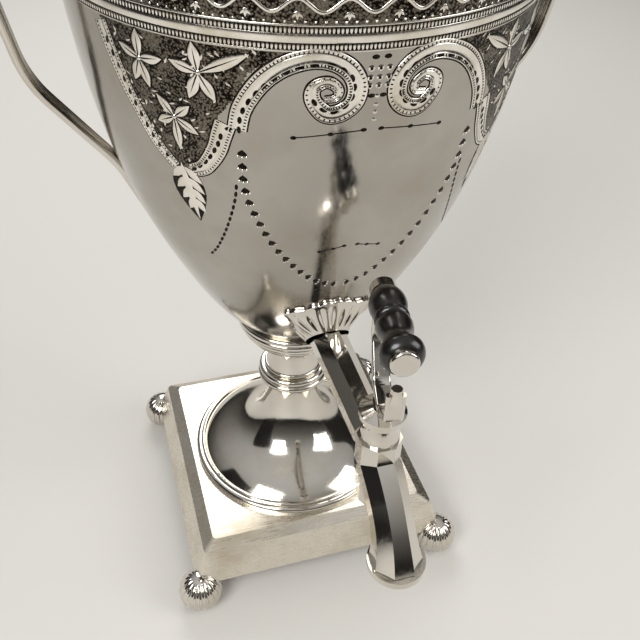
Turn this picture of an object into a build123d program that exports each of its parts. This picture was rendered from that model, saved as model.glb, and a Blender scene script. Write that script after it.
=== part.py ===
from build123d import *
import math
import os

os.makedirs("parts", exist_ok=True)

# Tea urn: a square plinth on four ball feet, a trumpet foot, an egg-shaped body
# with two reeded strap handles, a tap with a turned ebony grip, and a hinged domed lid.
# Millimetres. X is to the right, Y to the back and Z up, with the tap towards -Y.
# The origin lies on the floor, on the axis of the body.

# Sheet and joint sizes
SHEET = 1.5                 # gauge of the raised silver-plated sheet
JOINT_GAP = 0.05            # soldered sleeve joints
RUN_GAP = 0.05              # turning and sliding fits
FACE_GAP = 0.1              # flat faces that pass each other
HOLE_GAP = 0.3              # bolts in their holes

# Ball feet
FOOT_RADIUS = 11.4
FOOT_CENTRE_Z = 10.8
FOOT_OFFSET = 68.0          # from the urn axis, along X and along Y
FOOT_FLUTES = 20
FLUTE_RADIUS = 1.35
FOOT_STUD_RADIUS = 1.8
FOOT_STUD_INSET = 6.0       # of the stud from the ball's centre, along X and along Y
FOOT_STUD_DEPTH = 6.0
FOOT_NUT_RADIUS = 3.4
FOOT_NUT_HEIGHT = 2.6

# Plinth
PLINTH_BOTTOM_Z = 17.0
PLINTH_BOTTOM_SIDE = 140.0
PLINTH_EDGE_Z = 34.8
PLINTH_EDGE_SIDE = 127.8
PLINTH_TOP_Z = 37.8
PLINTH_TOP_SIDE = 116.0
PLINTH_CORNER = 2.5
LUG_SIZE = 18.0
LUG_THICKNESS = 2.0

# Ring moulding, trumpet foot, collar and cup
TRUMPET_RADIUS = 50.6
RING_WIDTH = 4.8
RING_RADIUS = TRUMPET_RADIUS + RING_WIDTH
RING_REED = 2.2
TRUMPET_LIP = 3.2
TRUMPET_TOP_Z = 90.0
TRUMPET_TOP_RADIUS = 13.0
COLLAR_RINGS = ((15.6, 3.0), (18.7, 3.6), (18.2, 4.0), (15.4, 2.4))
CUP_NECK_RADIUS = 12.7
CUP_NECK_Z = 112.0
CUP_STEP_Z = 119.5
CUP_STEP_RADIUS = 15.2
CUP_TOP_Z = 139.0
CUP_TOP_RADIUS = 28.2
CUP_REEDS = 5

# Tie rod
ROD_RADIUS = 3.0
ROD_TAIL = 8.0
ROD_WASHER_RADIUS = 9.0
ROD_WASHER_THICKNESS = 1.2
ROD_NUT_RADIUS = 6.0
ROD_NUT_HEIGHT = 4.5

# Body: half outline (radius, height) from the cup to the widest band
BODY_SEAT_RADIUS = 26.4
BODY_CURVE = ((43.2, 159.0), (57.0, 184.0), (70.6, 215.0), (81.8, 254.0), (88.8, 300.0))
BODY_WIDEST = 91.0
BODY_WIDEST_Z = 332.0
SHOULDER_Z = 343.0
NECK_RADIUS = 69.0
NECK_Z = 366.0
MOUTH_FLARE = 2.5
MOUTH_RADIUS = NECK_RADIUS + MOUTH_FLARE
MOUTH_Z = 378.0
BEAD_RADIUS = 1.9
BEAD_SINK = 0.6
RIM_OVERHANG = 4.2
RIM_HEIGHT = 6.0
RIM_REEDS = 3
RIM_STEP = 0.8
RIM_SINK = 1.0

# Heater sleeve, iron and cover
SLEEVE_RADIUS = 20.0
SLEEVE_TOP_Z = 330.0
IRON_GAP = 1.5
IRON_TOP_Z = 296.0
IRON_LOOP_RADIUS = 9.0
IRON_LOOP_WIRE = 2.2
COVER_PLUG_DEPTH = 8.0
COVER_RADIUS = 23.0
COVER_THICKNESS = 1.6
COVER_KNOB_RADIUS = 4.5
COVER_KNOB_HEIGHT = 11.0

# Handles: the strap's path in the XZ plane
STRAP_WIDTH = 9.0
STRAP_THICKNESS = 3.8
STRAP_REEDS = 3
STRAP_ROOT = (59.5, 192.0)
STRAP_LEAVES_BODY = (77.0, 232.0)
STRAP_ELBOW = (106.5, 270.0)
STRAP_CROWN = (119.0, 336.0)
STRAP_TOP_ROOT = (76.0, 352.0)
STRAP_BENDS = (50.0, 45.0, 15.0)

# Tap
TAP_Z = 164.5
BARREL_ROOT_RADIUS = 8.4
BARREL_END_RADIUS = 6.9
BARREL_BORE = 3.4
PLUG_Y = -121.0
TAP_BODY_FLAT = 8.2         # half the width across the flats
TAP_BODY_WAIST = 1.4
TAP_BODY_BOTTOM_Z = 138.0
TAP_BODY_SHOULDER_Z = TAP_Z - 6.0
TAP_BODY_TOP_Z = 172.0
PLUG_TOP_RADIUS = 5.6
PLUG_BOTTOM_RADIUS = 4.6
SPOUT_BORE = 4.4
SPOUT_MOUTH_Y = PLUG_Y - 28.6
SPOUT_MOUTH_Z = TAP_Z - 34.9
SPOUT_MOUTH_RADIUS = 11.4
SPOUT_LIP_HEIGHT = 3.0
SPOUT_STATIONS = (          # ahead of the plug, below the barrel, degrees of dip, share of the tap's width
    (1.0, 6.0, 41.3, 1.0),
    (15.6, 15.1, 47.0, 0.96),
    (24.6, 25.9, 65.2, 1.02),
)
SPOUT_MOUTH_WALL = 0.8
WATERWAY_DROP = 1.0         # of the spout's bore below the barrel's, at the plug
WATERWAY_BEND = (19.0, 17.5)
WATERWAY_BEND_RADIUS = 10.0
PLUG_WAY_SLACK = 0.4
FLANGE_THICKNESS = 2.2
FLANGE_HALF_WIDTH = 19.5
FLANGE_TIP_Z = 181.0
FLANGE_TOP_Z = 189.5
FLANGE_BOTTOM_Z = 152.0
FLANGE_LOBES = 5
STRAINER_INNER_Y = 32.0     # of its closed end, inside the body
STRAINER_LENGTH = 20.0
STRAINER_WALL = 0.6
STRAINER_HOLE = 0.8
STRAINER_ROWS = 4
PIN_RADIUS = 1.5
PIN_HEIGHT = 3.4
PIN_BACK = 13.0             # from the plug axis, towards the body
WASHER_RADIUS = 6.4
WASHER_THICKNESS = 1.2
PLUG_NUT_RADIUS = 5.4
PLUG_NUT_HEIGHT = 3.6
PLUG_TAIL_RADIUS = 2.4

# Tap key: bonnet, lever and grip, turned a little from the line of the barrel
KEY_TURN = -11.5
BONNET_RADIUS = 7.5
BONNET_HEIGHT = 11.6
BONNET_WAIST = 0.5
DISC_RADIUS = 9.0
DISC_THICKNESS = 2.2
DISC_CONE = 2.0
KEY_STEM_RADIUS = 3.0
LEVER_WIDTH = 7.0
LEVER_THICKNESS = 2.4
LEVER_UPRIGHT = 18.0
LEVER_HUB_RADIUS = 4.2
LEVER_HUB_HEIGHT = 3.0
CURL_REACH = 15.5
CURL_RISE = 21.5
CURL_KNOB_RADIUS = 2.9
CURL_KNOB_LENGTH = 6.0
GRIP_RISE = 38.5            # grip axis above the disc's top
GRIP_TILT = 5.0
GRIP_HALF = 19.0
GRIP_BORE = 1.8
GRIP_BALL = 6.8
GRIP_BEAD = 6.3
GRIP_FLARE = 7.6
GRIP_NECK = 4.9
GRIP_WAIST = 5.5
BUTTON_RADIUS = 4.9
BUTTON_THICKNESS = 2.4
LEVER_EYE_RADIUS = 5.0
LEVER_EYE_THICKNESS = 2.6

# Lid
LID_LIFT = 0.2              # clear of the mouth, so the two faces only meet at the seat
LID_OVERHANG = 2.9
LID_RADIUS = MOUTH_RADIUS + LID_OVERHANG
LID_EDGE = 2.6
LID_STEP = 3.0
LID_DOME = ((66.0, 386.5), (46.0, 398.0), (24.0, 408.5))
LID_TOP_RADIUS = 9.0
LID_TOP_Z = 413.0
BEZEL_DEPTH = 5.0
BEZEL_GAP = 0.9
HINGE_OUT = 8.5             # of the pin, from the mouth
HINGE_Y = MOUTH_RADIUS + HINGE_OUT
HINGE_RADIUS = 3.0
HINGE_PIN_RADIUS = 1.2
HINGE_KNUCKLE = 9.0
HINGE_LEAF = 2.2
HINGE_REACH = 12.0
HINGE_SIDE_GAP = 0.3
FINIAL_BASE_RADIUS = 9.5
FINIAL_BASE_HEIGHT = 6.0
FINIAL_EBONY_RADIUS = 8.2
FINIAL_EBONY_HEIGHT = 19.0
FINIAL_BUTTON_RADIUS = 3.8
FINIAL_BUTTON_HEIGHT = 5.0
FINIAL_STUD_RADIUS = 1.6
FINIAL_NUT_RADIUS = 3.6
FINIAL_NUT_HEIGHT = 2.6

STUD_OFFSET = FOOT_OFFSET - FOOT_STUD_INSET
AXIS_CORNERS = ((1, -1, "front_right"), (-1, -1, "front_left"), (1, 1, "back_right"), (-1, 1, "back_left"))


def save(part, name):
    """Label a finished piece and write it under its own name."""
    part.label = name
    export_step(part, "parts/" + name + ".step")


def moved_in(points, distance):
    """Points of an outline moved square to it, towards the axis."""
    shifted = []
    for index, (radius, height) in enumerate(points):
        before = points[max(index - 1, 0)]
        after = points[min(index + 1, len(points) - 1)]
        run, rise = after[0] - before[0], after[1] - before[1]
        length = math.hypot(run, rise)
        shifted.append((radius - distance * rise / length, height + distance * run / length))
    return shifted


def bulged(start, end, bulge):
    """An arc from start to end that stands out to the right of the way it goes."""
    run, rise = end[0] - start[0], end[1] - start[1]
    length = math.hypot(run, rise)
    middle = ((start[0] + end[0]) / 2 + bulge * rise / length, (start[1] + end[1]) / 2 - bulge * run / length)
    return ThreePointArc(start, middle, end)


def body_form(inset):
    """The body as a filled form, with its outline moved in by inset."""
    floor_z = CUP_TOP_Z + max(inset, 0)
    seat = (BODY_SEAT_RADIUS, CUP_TOP_Z)
    egg = moved_in([seat, *BODY_CURVE, (BODY_WIDEST, BODY_WIDEST_Z)], inset)
    egg[0] = (BODY_SEAT_RADIUS - 0.6 * inset, floor_z)
    egg[-1] = (BODY_WIDEST - inset, BODY_WIDEST_Z)
    shoulder = (BODY_WIDEST - 1.2 - inset, SHOULDER_Z)
    shoulder_mid = ((BODY_WIDEST + NECK_RADIUS) / 2 + 2.6 - inset, (SHOULDER_Z + NECK_Z) / 2 + 2.6 - inset)
    neck = (NECK_RADIUS - inset, NECK_Z)
    mouth = (MOUTH_RADIUS - inset, MOUTH_Z)
    with BuildPart() as form:
        with BuildSketch(Plane.XZ):
            with BuildLine():
                Line((0, floor_z), egg[0])
                Spline(*egg)
                Line(egg[-1], shoulder)
                ThreePointArc(shoulder, shoulder_mid, neck)
                Line(neck, mouth)
                Line(mouth, (0, MOUTH_Z))
                Line((0, MOUTH_Z), (0, floor_z))
            make_face()
        revolve(axis=Axis.Z)
    return form.part


body_outside = body_form(0)
body_inside = body_form(SHEET)

# Plinth outline, filled: the walls spread downwards and the top is bevelled


def plinth_form(inset):
    """The plinth as a filled form, with its faces moved in by inset."""
    corner = max(PLINTH_CORNER - inset, 0.5)
    with BuildPart() as form:
        for low_z, low_side, high_z, high_side in (
            (PLINTH_BOTTOM_Z, PLINTH_BOTTOM_SIDE, PLINTH_EDGE_Z - inset, PLINTH_EDGE_SIDE),
            (PLINTH_EDGE_Z - inset, PLINTH_EDGE_SIDE, PLINTH_TOP_Z - inset, PLINTH_TOP_SIDE),
        ):
            with BuildSketch(Plane.XY.offset(low_z)):
                RectangleRounded(low_side - 2 * inset, low_side - 2 * inset, corner)
            with BuildSketch(Plane.XY.offset(high_z)):
                RectangleRounded(high_side - 2 * inset, high_side - 2 * inset, corner)
            loft(ruled=True)
    return form.part


plinth_outside = plinth_form(0)

with BuildPart() as plinth:
    add(plinth_outside)
    add(plinth_form(SHEET), mode=Mode.SUBTRACT)
    with BuildSketch(Plane.XY.offset(PLINTH_BOTTOM_Z)):
        with Locations(*((x * STUD_OFFSET, y * STUD_OFFSET) for x, y, _ in AXIS_CORNERS)):
            Rectangle(LUG_SIZE, LUG_SIZE)
        Rectangle(PLINTH_BOTTOM_SIDE - 2 * SHEET, PLINTH_BOTTOM_SIDE - 2 * SHEET, mode=Mode.INTERSECT)
    extrude(amount=LUG_THICKNESS)
    with Locations(*((x * STUD_OFFSET, y * STUD_OFFSET, PLINTH_BOTTOM_Z) for x, y, _ in AXIS_CORNERS)):
        Cylinder(FOOT_STUD_RADIUS + HOLE_GAP, 3 * LUG_THICKNESS, mode=Mode.SUBTRACT)
    with Locations((0, 0, PLINTH_TOP_Z)):
        Cylinder(ROD_RADIUS + HOLE_GAP, 4 * SHEET, mode=Mode.SUBTRACT)
save(plinth.part, "plinth")

# One melon-fluted ball, then its four places: each foot is notched round the plinth's corner
with BuildPart() as fluted_ball:
    Sphere(FOOT_RADIUS)
    with BuildLine(Plane.XZ, mode=Mode.PRIVATE) as meridian:
        CenterArc((0, 0), FOOT_RADIUS + FLUTE_RADIUS / 2, -68, 136)
    with BuildSketch(Plane(meridian.line @ 0, z_dir=meridian.line % 0), mode=Mode.PRIVATE) as groove:
        Circle(FLUTE_RADIUS)
    flute = sweep(groove.sketch, path=meridian.line, mode=Mode.PRIVATE)
    with PolarLocations(0, FOOT_FLUTES):
        add(flute, mode=Mode.SUBTRACT)

for x, y, corner_name in AXIS_CORNERS:
    with BuildPart() as foot:
        with Locations((x * FOOT_OFFSET, y * FOOT_OFFSET, FOOT_CENTRE_Z)):
            add(fluted_ball.part)
        with Locations((x * FOOT_OFFSET, y * FOOT_OFFSET, -FOOT_RADIUS)):
            Box(4 * FOOT_RADIUS, 4 * FOOT_RADIUS, 2 * FOOT_RADIUS, mode=Mode.SUBTRACT)
        add(plinth_outside, mode=Mode.SUBTRACT)
        with Locations((x * STUD_OFFSET, y * STUD_OFFSET, PLINTH_BOTTOM_Z - FOOT_STUD_DEPTH / 2)):
            Cylinder(FOOT_STUD_RADIUS + RUN_GAP, FOOT_STUD_DEPTH, mode=Mode.SUBTRACT)
    save(foot.part, "ball_foot_" + corner_name)

lug_top_z = PLINTH_BOTTOM_Z + LUG_THICKNESS
stud_places = [(x * STUD_OFFSET, y * STUD_OFFSET) for x, y, _ in AXIS_CORNERS]

with BuildPart() as foot_studs:
    with BuildSketch(Plane.XY.offset(PLINTH_BOTTOM_Z - FOOT_STUD_DEPTH)):
        with Locations(*stud_places):
            Circle(FOOT_STUD_RADIUS)
    extrude(amount=FOOT_STUD_DEPTH + LUG_THICKNESS + FOOT_NUT_HEIGHT + 1)
save(foot_studs.part, "foot_studs")

with BuildPart() as foot_nuts:
    with BuildSketch(Plane.XY.offset(lug_top_z)):
        with Locations(*stud_places):
            RegularPolygon(FOOT_NUT_RADIUS, 6)
            Circle(FOOT_STUD_RADIUS + RUN_GAP, mode=Mode.SUBTRACT)
    extrude(amount=FOOT_NUT_HEIGHT)
save(foot_nuts.part, "foot_nuts")

# Ring moulding round the edge of the trumpet foot: two reeds on a flat fillet
ring_inner = TRUMPET_RADIUS + JOINT_GAP
with BuildPart() as ring_moulding:
    with BuildSketch(Plane.XZ):
        with BuildLine():
            inner_low = (ring_inner, PLINTH_TOP_Z)
            outer_low = (RING_RADIUS, PLINTH_TOP_Z)
            shoulder = (RING_RADIUS, PLINTH_TOP_Z + RING_REED * 0.5)
            valley = (RING_RADIUS - RING_REED * 1.3, PLINTH_TOP_Z + RING_REED * 1.6)
            inner_high = (ring_inner, valley[1] + RING_REED * 0.4)
            Polyline(inner_low, outer_low, shoulder)
            bulged(shoulder, valley, RING_REED * 0.5)
            bulged(valley, inner_high, RING_REED * 0.25)
            Line(inner_high, inner_low)
        make_face()
    revolve(axis=Axis.Z)
save(ring_moulding.part, "plinth_ring")


def trumpet_form(inset):
    """The trumpet foot as a filled form, with its outline moved in by inset."""
    lip_z = PLINTH_TOP_Z + TRUMPET_LIP
    outline = moved_in([
        (TRUMPET_RADIUS, lip_z),
        (TRUMPET_RADIUS * 0.88, lip_z + 5.0),
        (TRUMPET_RADIUS * 0.56, lip_z + 14.0),
        (TRUMPET_TOP_RADIUS + 3.2, lip_z + 31.0),
        (TRUMPET_TOP_RADIUS, TRUMPET_TOP_Z),
    ], inset)
    outline[0] = (TRUMPET_RADIUS - inset, lip_z - 0.6 * inset)
    outline[-1] = (TRUMPET_TOP_RADIUS - inset, TRUMPET_TOP_Z - inset)
    with BuildPart() as form:
        with BuildSketch(Plane.XZ):
            with BuildLine():
                Line((outline[0][0], PLINTH_TOP_Z), outline[0])
                Spline(*outline)
                Polyline(outline[-1], (0, outline[-1][1]), (0, PLINTH_TOP_Z), (outline[0][0], PLINTH_TOP_Z))
            make_face()
        revolve(axis=Axis.Z)
    return form.part


with BuildPart() as trumpet_foot:
    add(trumpet_form(0))
    add(trumpet_form(SHEET), mode=Mode.SUBTRACT)
    with Locations((0, 0, TRUMPET_TOP_Z)):
        Cylinder(ROD_RADIUS + HOLE_GAP, 4 * SHEET, mode=Mode.SUBTRACT)
save(trumpet_foot.part, "trumpet_foot")

# Knopped collar of turned rings
with BuildPart() as stem_collar:
    with BuildSketch(Plane.XZ):
        with BuildLine():
            bore = ROD_RADIUS + HOLE_GAP
            last = (bore, TRUMPET_TOP_Z)
            for ring_radius, ring_height in COLLAR_RINGS:
                root = ring_radius - ring_height * 0.45
                start, end = (root, last[1]), (root, last[1] + ring_height)
                Line(last, start)
                ThreePointArc(start, (ring_radius, last[1] + ring_height / 2), end)
                last = end
            collar_top_z = last[1]
            Polyline(last, (bore, collar_top_z), (bore, TRUMPET_TOP_Z))
        make_face()
    revolve(axis=Axis.Z)
save(stem_collar.part, "stem_collar")

# Neck and reeded cup that carries the body
with BuildPart() as stem_cup:
    with BuildSketch(Plane.XZ):
        with BuildLine():
            bore = ROD_RADIUS + HOLE_GAP
            neck_start = (CUP_NECK_RADIUS + 1.6, collar_top_z)
            neck_end = (CUP_NECK_RADIUS + 1.2, CUP_STEP_Z)
            ThreePointArc(neck_start, (CUP_NECK_RADIUS, CUP_NECK_Z), neck_end)
            step_start = (CUP_STEP_RADIUS, CUP_STEP_Z)
            reed_start = (CUP_STEP_RADIUS + 2.4, CUP_STEP_Z + 1.6)
            Polyline(neck_end, step_start, (CUP_STEP_RADIUS, CUP_STEP_Z + 1.6), reed_start)
            lift = (CUP_TOP_Z - reed_start[1]) / CUP_REEDS
            spread = CUP_TOP_RADIUS - reed_start[0]
            start = reed_start
            for reed in range(1, CUP_REEDS + 1):
                share = math.sin(math.pi / 2 * reed / CUP_REEDS) ** 0.8
                end = (reed_start[0] + spread * share, reed_start[1] + lift * reed)
                bulged(start, end, lift * 0.42)
                start = end
            Polyline(start, (bore, CUP_TOP_Z), (bore, collar_top_z), neck_start)
        make_face()
    revolve(axis=Axis.Z)
save(stem_cup.part, "stem_cup")

# Tie rod from the body's underside to a nut under the plinth
rod_nut_top_z = PLINTH_TOP_Z - SHEET - ROD_WASHER_THICKNESS
with BuildPart() as tie_rod:
    with Locations((0, 0, rod_nut_top_z - ROD_NUT_HEIGHT - 1)):
        rod_length = CUP_TOP_Z - rod_nut_top_z + ROD_NUT_HEIGHT + 1
        Cylinder(ROD_RADIUS, rod_length, align=(Align.CENTER, Align.CENTER, Align.MIN))
save(tie_rod.part, "tie_rod")

with BuildPart() as tie_washer:
    with BuildSketch(Plane.XY.offset(rod_nut_top_z)):
        Circle(ROD_WASHER_RADIUS)
        Circle(ROD_RADIUS + HOLE_GAP, mode=Mode.SUBTRACT)
    extrude(amount=ROD_WASHER_THICKNESS)
save(tie_washer.part, "tie_washer")

with BuildPart() as tie_nut:
    with BuildSketch(Plane.XY.offset(rod_nut_top_z - ROD_NUT_HEIGHT)):
        RegularPolygon(ROD_NUT_RADIUS, 6)
        Circle(ROD_RADIUS + RUN_GAP, mode=Mode.SUBTRACT)
    extrude(amount=ROD_NUT_HEIGHT)
save(tie_nut.part, "tie_nut")

# Body shell, with the tap's hole through its wall
with BuildPart() as urn_body:
    add(body_outside)
    add(body_inside, mode=Mode.SUBTRACT)
    with BuildSketch(Plane.XZ.offset(0)):
        with Locations((0, TAP_Z)):
            Circle(BARREL_BORE)
    extrude(amount=BODY_WIDEST, mode=Mode.SUBTRACT)
save(urn_body.part, "urn_body")

# Bead round the top of the engraved band, and the moulding round the mouth
with BuildPart() as shoulder_bead:
    with BuildSketch(Plane.XZ):
        with Locations((BODY_WIDEST - BEAD_SINK, SHOULDER_Z - BEAD_RADIUS)):
            Circle(BEAD_RADIUS)
    revolve(axis=Axis.Z)
    add(body_outside, mode=Mode.SUBTRACT)
save(shoulder_bead.part, "shoulder_bead")

rim_low_z = MOUTH_Z - RIM_HEIGHT
with BuildPart() as rim_moulding:
    with BuildSketch(Plane.XZ):
        with BuildLine():
            rim_foot = MOUTH_RADIUS + RIM_OVERHANG - 1.5 * RIM_REEDS * RIM_STEP
            reed_height = RIM_HEIGHT / RIM_REEDS
            start = (rim_foot, rim_low_z)
            low = start
            for reed in range(1, RIM_REEDS + 1):
                end = (rim_foot + RIM_STEP * reed, rim_low_z + reed_height * reed)
                bulged(start, end, reed_height * 0.42)
                start = end
            inner = NECK_RADIUS - RIM_SINK
            Polyline(start, (inner, MOUTH_Z), (inner, rim_low_z), low)
        make_face()
    revolve(axis=Axis.Z)
    add(body_outside, mode=Mode.SUBTRACT)
save(rim_moulding.part, "rim_moulding")

# Heater sleeve on the body's floor, with its iron, loop and cover
floor_z = CUP_TOP_Z + SHEET
with BuildPart() as heater_sleeve:
    with BuildSketch(Plane.XY.offset(floor_z)):
        Circle(SLEEVE_RADIUS)
        Circle(SLEEVE_RADIUS - SHEET, mode=Mode.SUBTRACT)
    extrude(amount=SLEEVE_TOP_Z - floor_z)
save(heater_sleeve.part, "heater_sleeve")

iron_radius = SLEEVE_RADIUS - SHEET - IRON_GAP
with BuildPart() as heater_iron:
    with Locations((0, 0, floor_z)):
        Cylinder(iron_radius, IRON_TOP_Z - floor_z, align=(Align.CENTER, Align.CENTER, Align.MIN))
    chamfer(heater_iron.edges().filter_by(GeomType.CIRCLE), 1.5)
save(heater_iron.part, "heater_iron")

with BuildPart() as iron_loop:
    with BuildLine(Plane.XZ) as loop_path:
        leg = 4.0
        Line((-IRON_LOOP_RADIUS, IRON_TOP_Z), (-IRON_LOOP_RADIUS, IRON_TOP_Z + leg))
        ThreePointArc((-IRON_LOOP_RADIUS, IRON_TOP_Z + leg), (0, IRON_TOP_Z + leg + IRON_LOOP_RADIUS),
                      (IRON_LOOP_RADIUS, IRON_TOP_Z + leg))
        Line((IRON_LOOP_RADIUS, IRON_TOP_Z + leg), (IRON_LOOP_RADIUS, IRON_TOP_Z))
    with BuildSketch(Plane(loop_path.line @ 0, z_dir=loop_path.line % 0)):
        Circle(IRON_LOOP_WIRE)
    sweep(path=loop_path.line)
save(iron_loop.part, "iron_loop")

with BuildPart() as sleeve_cover:
    with BuildSketch(Plane.XY.offset(SLEEVE_TOP_Z)):
        Circle(COVER_RADIUS)
    extrude(amount=COVER_THICKNESS)
    with BuildSketch(Plane.XY.offset(SLEEVE_TOP_Z)):
        Circle(SLEEVE_RADIUS - SHEET - RUN_GAP)
        Circle(SLEEVE_RADIUS - 2 * SHEET - RUN_GAP, mode=Mode.SUBTRACT)
    extrude(amount=-COVER_PLUG_DEPTH)
save(sleeve_cover.part, "sleeve_cover")

cover_top_z = SLEEVE_TOP_Z + COVER_THICKNESS
with BuildPart() as cover_knob:
    with Locations((0, 0, cover_top_z)):
        Cone(COVER_KNOB_RADIUS * 0.8, COVER_KNOB_RADIUS * 0.4, COVER_KNOB_HEIGHT / 2,
             align=(Align.CENTER, Align.CENTER, Align.MIN))
    with Locations((0, 0, cover_top_z + COVER_KNOB_HEIGHT - COVER_KNOB_RADIUS)):
        Sphere(COVER_KNOB_RADIUS)
save(cover_knob.part, "cover_knob")

# Reeded strap handles: the strap is swept, then let into the body's curve at both roots
with BuildPart() as handle_right:
    with BuildLine(Plane.XZ) as strap_path:
        FilletPolyline(STRAP_ROOT, STRAP_LEAVES_BODY, STRAP_ELBOW, STRAP_CROWN, STRAP_TOP_ROOT,
                       radius=STRAP_BENDS)
    with BuildSketch(Plane(strap_path.line @ 0, x_dir=(0, 1, 0), z_dir=strap_path.line % 0)):
        reed_radius = STRAP_THICKNESS / 2
        reed_step = (STRAP_WIDTH - STRAP_THICKNESS) / (STRAP_REEDS - 1)
        Rectangle(STRAP_WIDTH - STRAP_THICKNESS, STRAP_THICKNESS * 0.72)
        with GridLocations(reed_step, 0, STRAP_REEDS, 1):
            Circle(reed_radius)
    sweep(path=strap_path.line)
    add(body_outside, mode=Mode.SUBTRACT)
save(handle_right.part, "handle_right")

with BuildPart() as handle_left:
    mirror(handle_right.part, about=Plane.YZ)
save(handle_left.part, "handle_left")

# Tap flange: a shell-shaped leaf that lies on the body round the barrel
body_flange_outside = body_form(-FLANGE_THICKNESS)
with BuildPart() as tap_flange:
    with BuildSketch(Plane.XZ):
        with BuildLine():
            low = (0, FLANGE_BOTTOM_Z)
            tip_left, tip_right = (-FLANGE_HALF_WIDTH, FLANGE_TIP_Z), (FLANGE_HALF_WIDTH, FLANGE_TIP_Z)
            ThreePointArc(low, (-FLANGE_HALF_WIDTH * 0.62, FLANGE_BOTTOM_Z + 11.0), tip_left)
            ThreePointArc(low, (FLANGE_HALF_WIDTH * 0.62, FLANGE_BOTTOM_Z + 11.0), tip_right)
            start = tip_left
            for lobe in range(1, FLANGE_LOBES + 1):
                across = -1 + 2 * lobe / FLANGE_LOBES
                rise = (FLANGE_TOP_Z - FLANGE_TIP_Z) * (1 - across ** 2)
                end = (FLANGE_HALF_WIDTH * across, FLANGE_TIP_Z + rise)
                bulged(start, end, -1.1)
                start = end
        make_face()
    extrude(amount=BODY_WIDEST)
    add(body_flange_outside, mode=Mode.INTERSECT)
    add(body_outside, mode=Mode.SUBTRACT)
    with BuildSketch(Plane.XZ):
        with Locations((0, TAP_Z)):
            RegularPolygon(BARREL_ROOT_RADIUS + JOINT_GAP, 8, major_radius=False, rotation=22.5)
    extrude(amount=BODY_WIDEST, mode=Mode.SUBTRACT)
save(tap_flange.part, "tap_flange")

# Faceted barrel, tapering from the flange to the tap body
barrel_end_y = PLUG_Y + TAP_BODY_FLAT
with BuildPart() as tap_barrel:
    for y, radius in ((0, BARREL_ROOT_RADIUS), (barrel_end_y, BARREL_END_RADIUS)):
        with BuildSketch(Plane.XZ.offset(-y)):
            with Locations((0, TAP_Z)):
                RegularPolygon(radius, 8, major_radius=False, rotation=22.5)
    loft()
    add(body_outside, mode=Mode.SUBTRACT)
    with BuildSketch(Plane.XZ):
        with Locations((0, TAP_Z)):
            Circle(BARREL_BORE)
    extrude(amount=-barrel_end_y, mode=Mode.SUBTRACT)
save(tap_barrel.part, "tap_barrel")

# Strainer thimble, pushed through the body's wall into the barrel
strainer_radius = BARREL_BORE - JOINT_GAP
with BuildPart() as tap_strainer:
    with BuildSketch(Plane.XZ.offset(STRAINER_INNER_Y)):
        with Locations((0, TAP_Z)):
            Circle(strainer_radius)
    extrude(amount=STRAINER_LENGTH)
    with BuildSketch(Plane.XZ.offset(STRAINER_INNER_Y + STRAINER_WALL)):
        with Locations((0, TAP_Z)):
            Circle(strainer_radius - STRAINER_WALL)
    extrude(amount=STRAINER_LENGTH, mode=Mode.SUBTRACT)
    for row in range(STRAINER_ROWS):
        row_y = -STRAINER_INNER_Y - STRAINER_WALL - STRAINER_HOLE * (1.5 + 3 * row)
        with Locations((0, row_y, TAP_Z)):
            Cylinder(STRAINER_HOLE, 3 * strainer_radius, mode=Mode.SUBTRACT)
            Cylinder(STRAINER_HOLE, 3 * strainer_radius, rotation=(0, 90, 0), mode=Mode.SUBTRACT)
save(tap_strainer.part, "tap_strainer")


def on_plug(radius):
    """A place on the tap's own axis, moved towards the user by radius."""
    return (0, PLUG_Y - radius)


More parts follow.
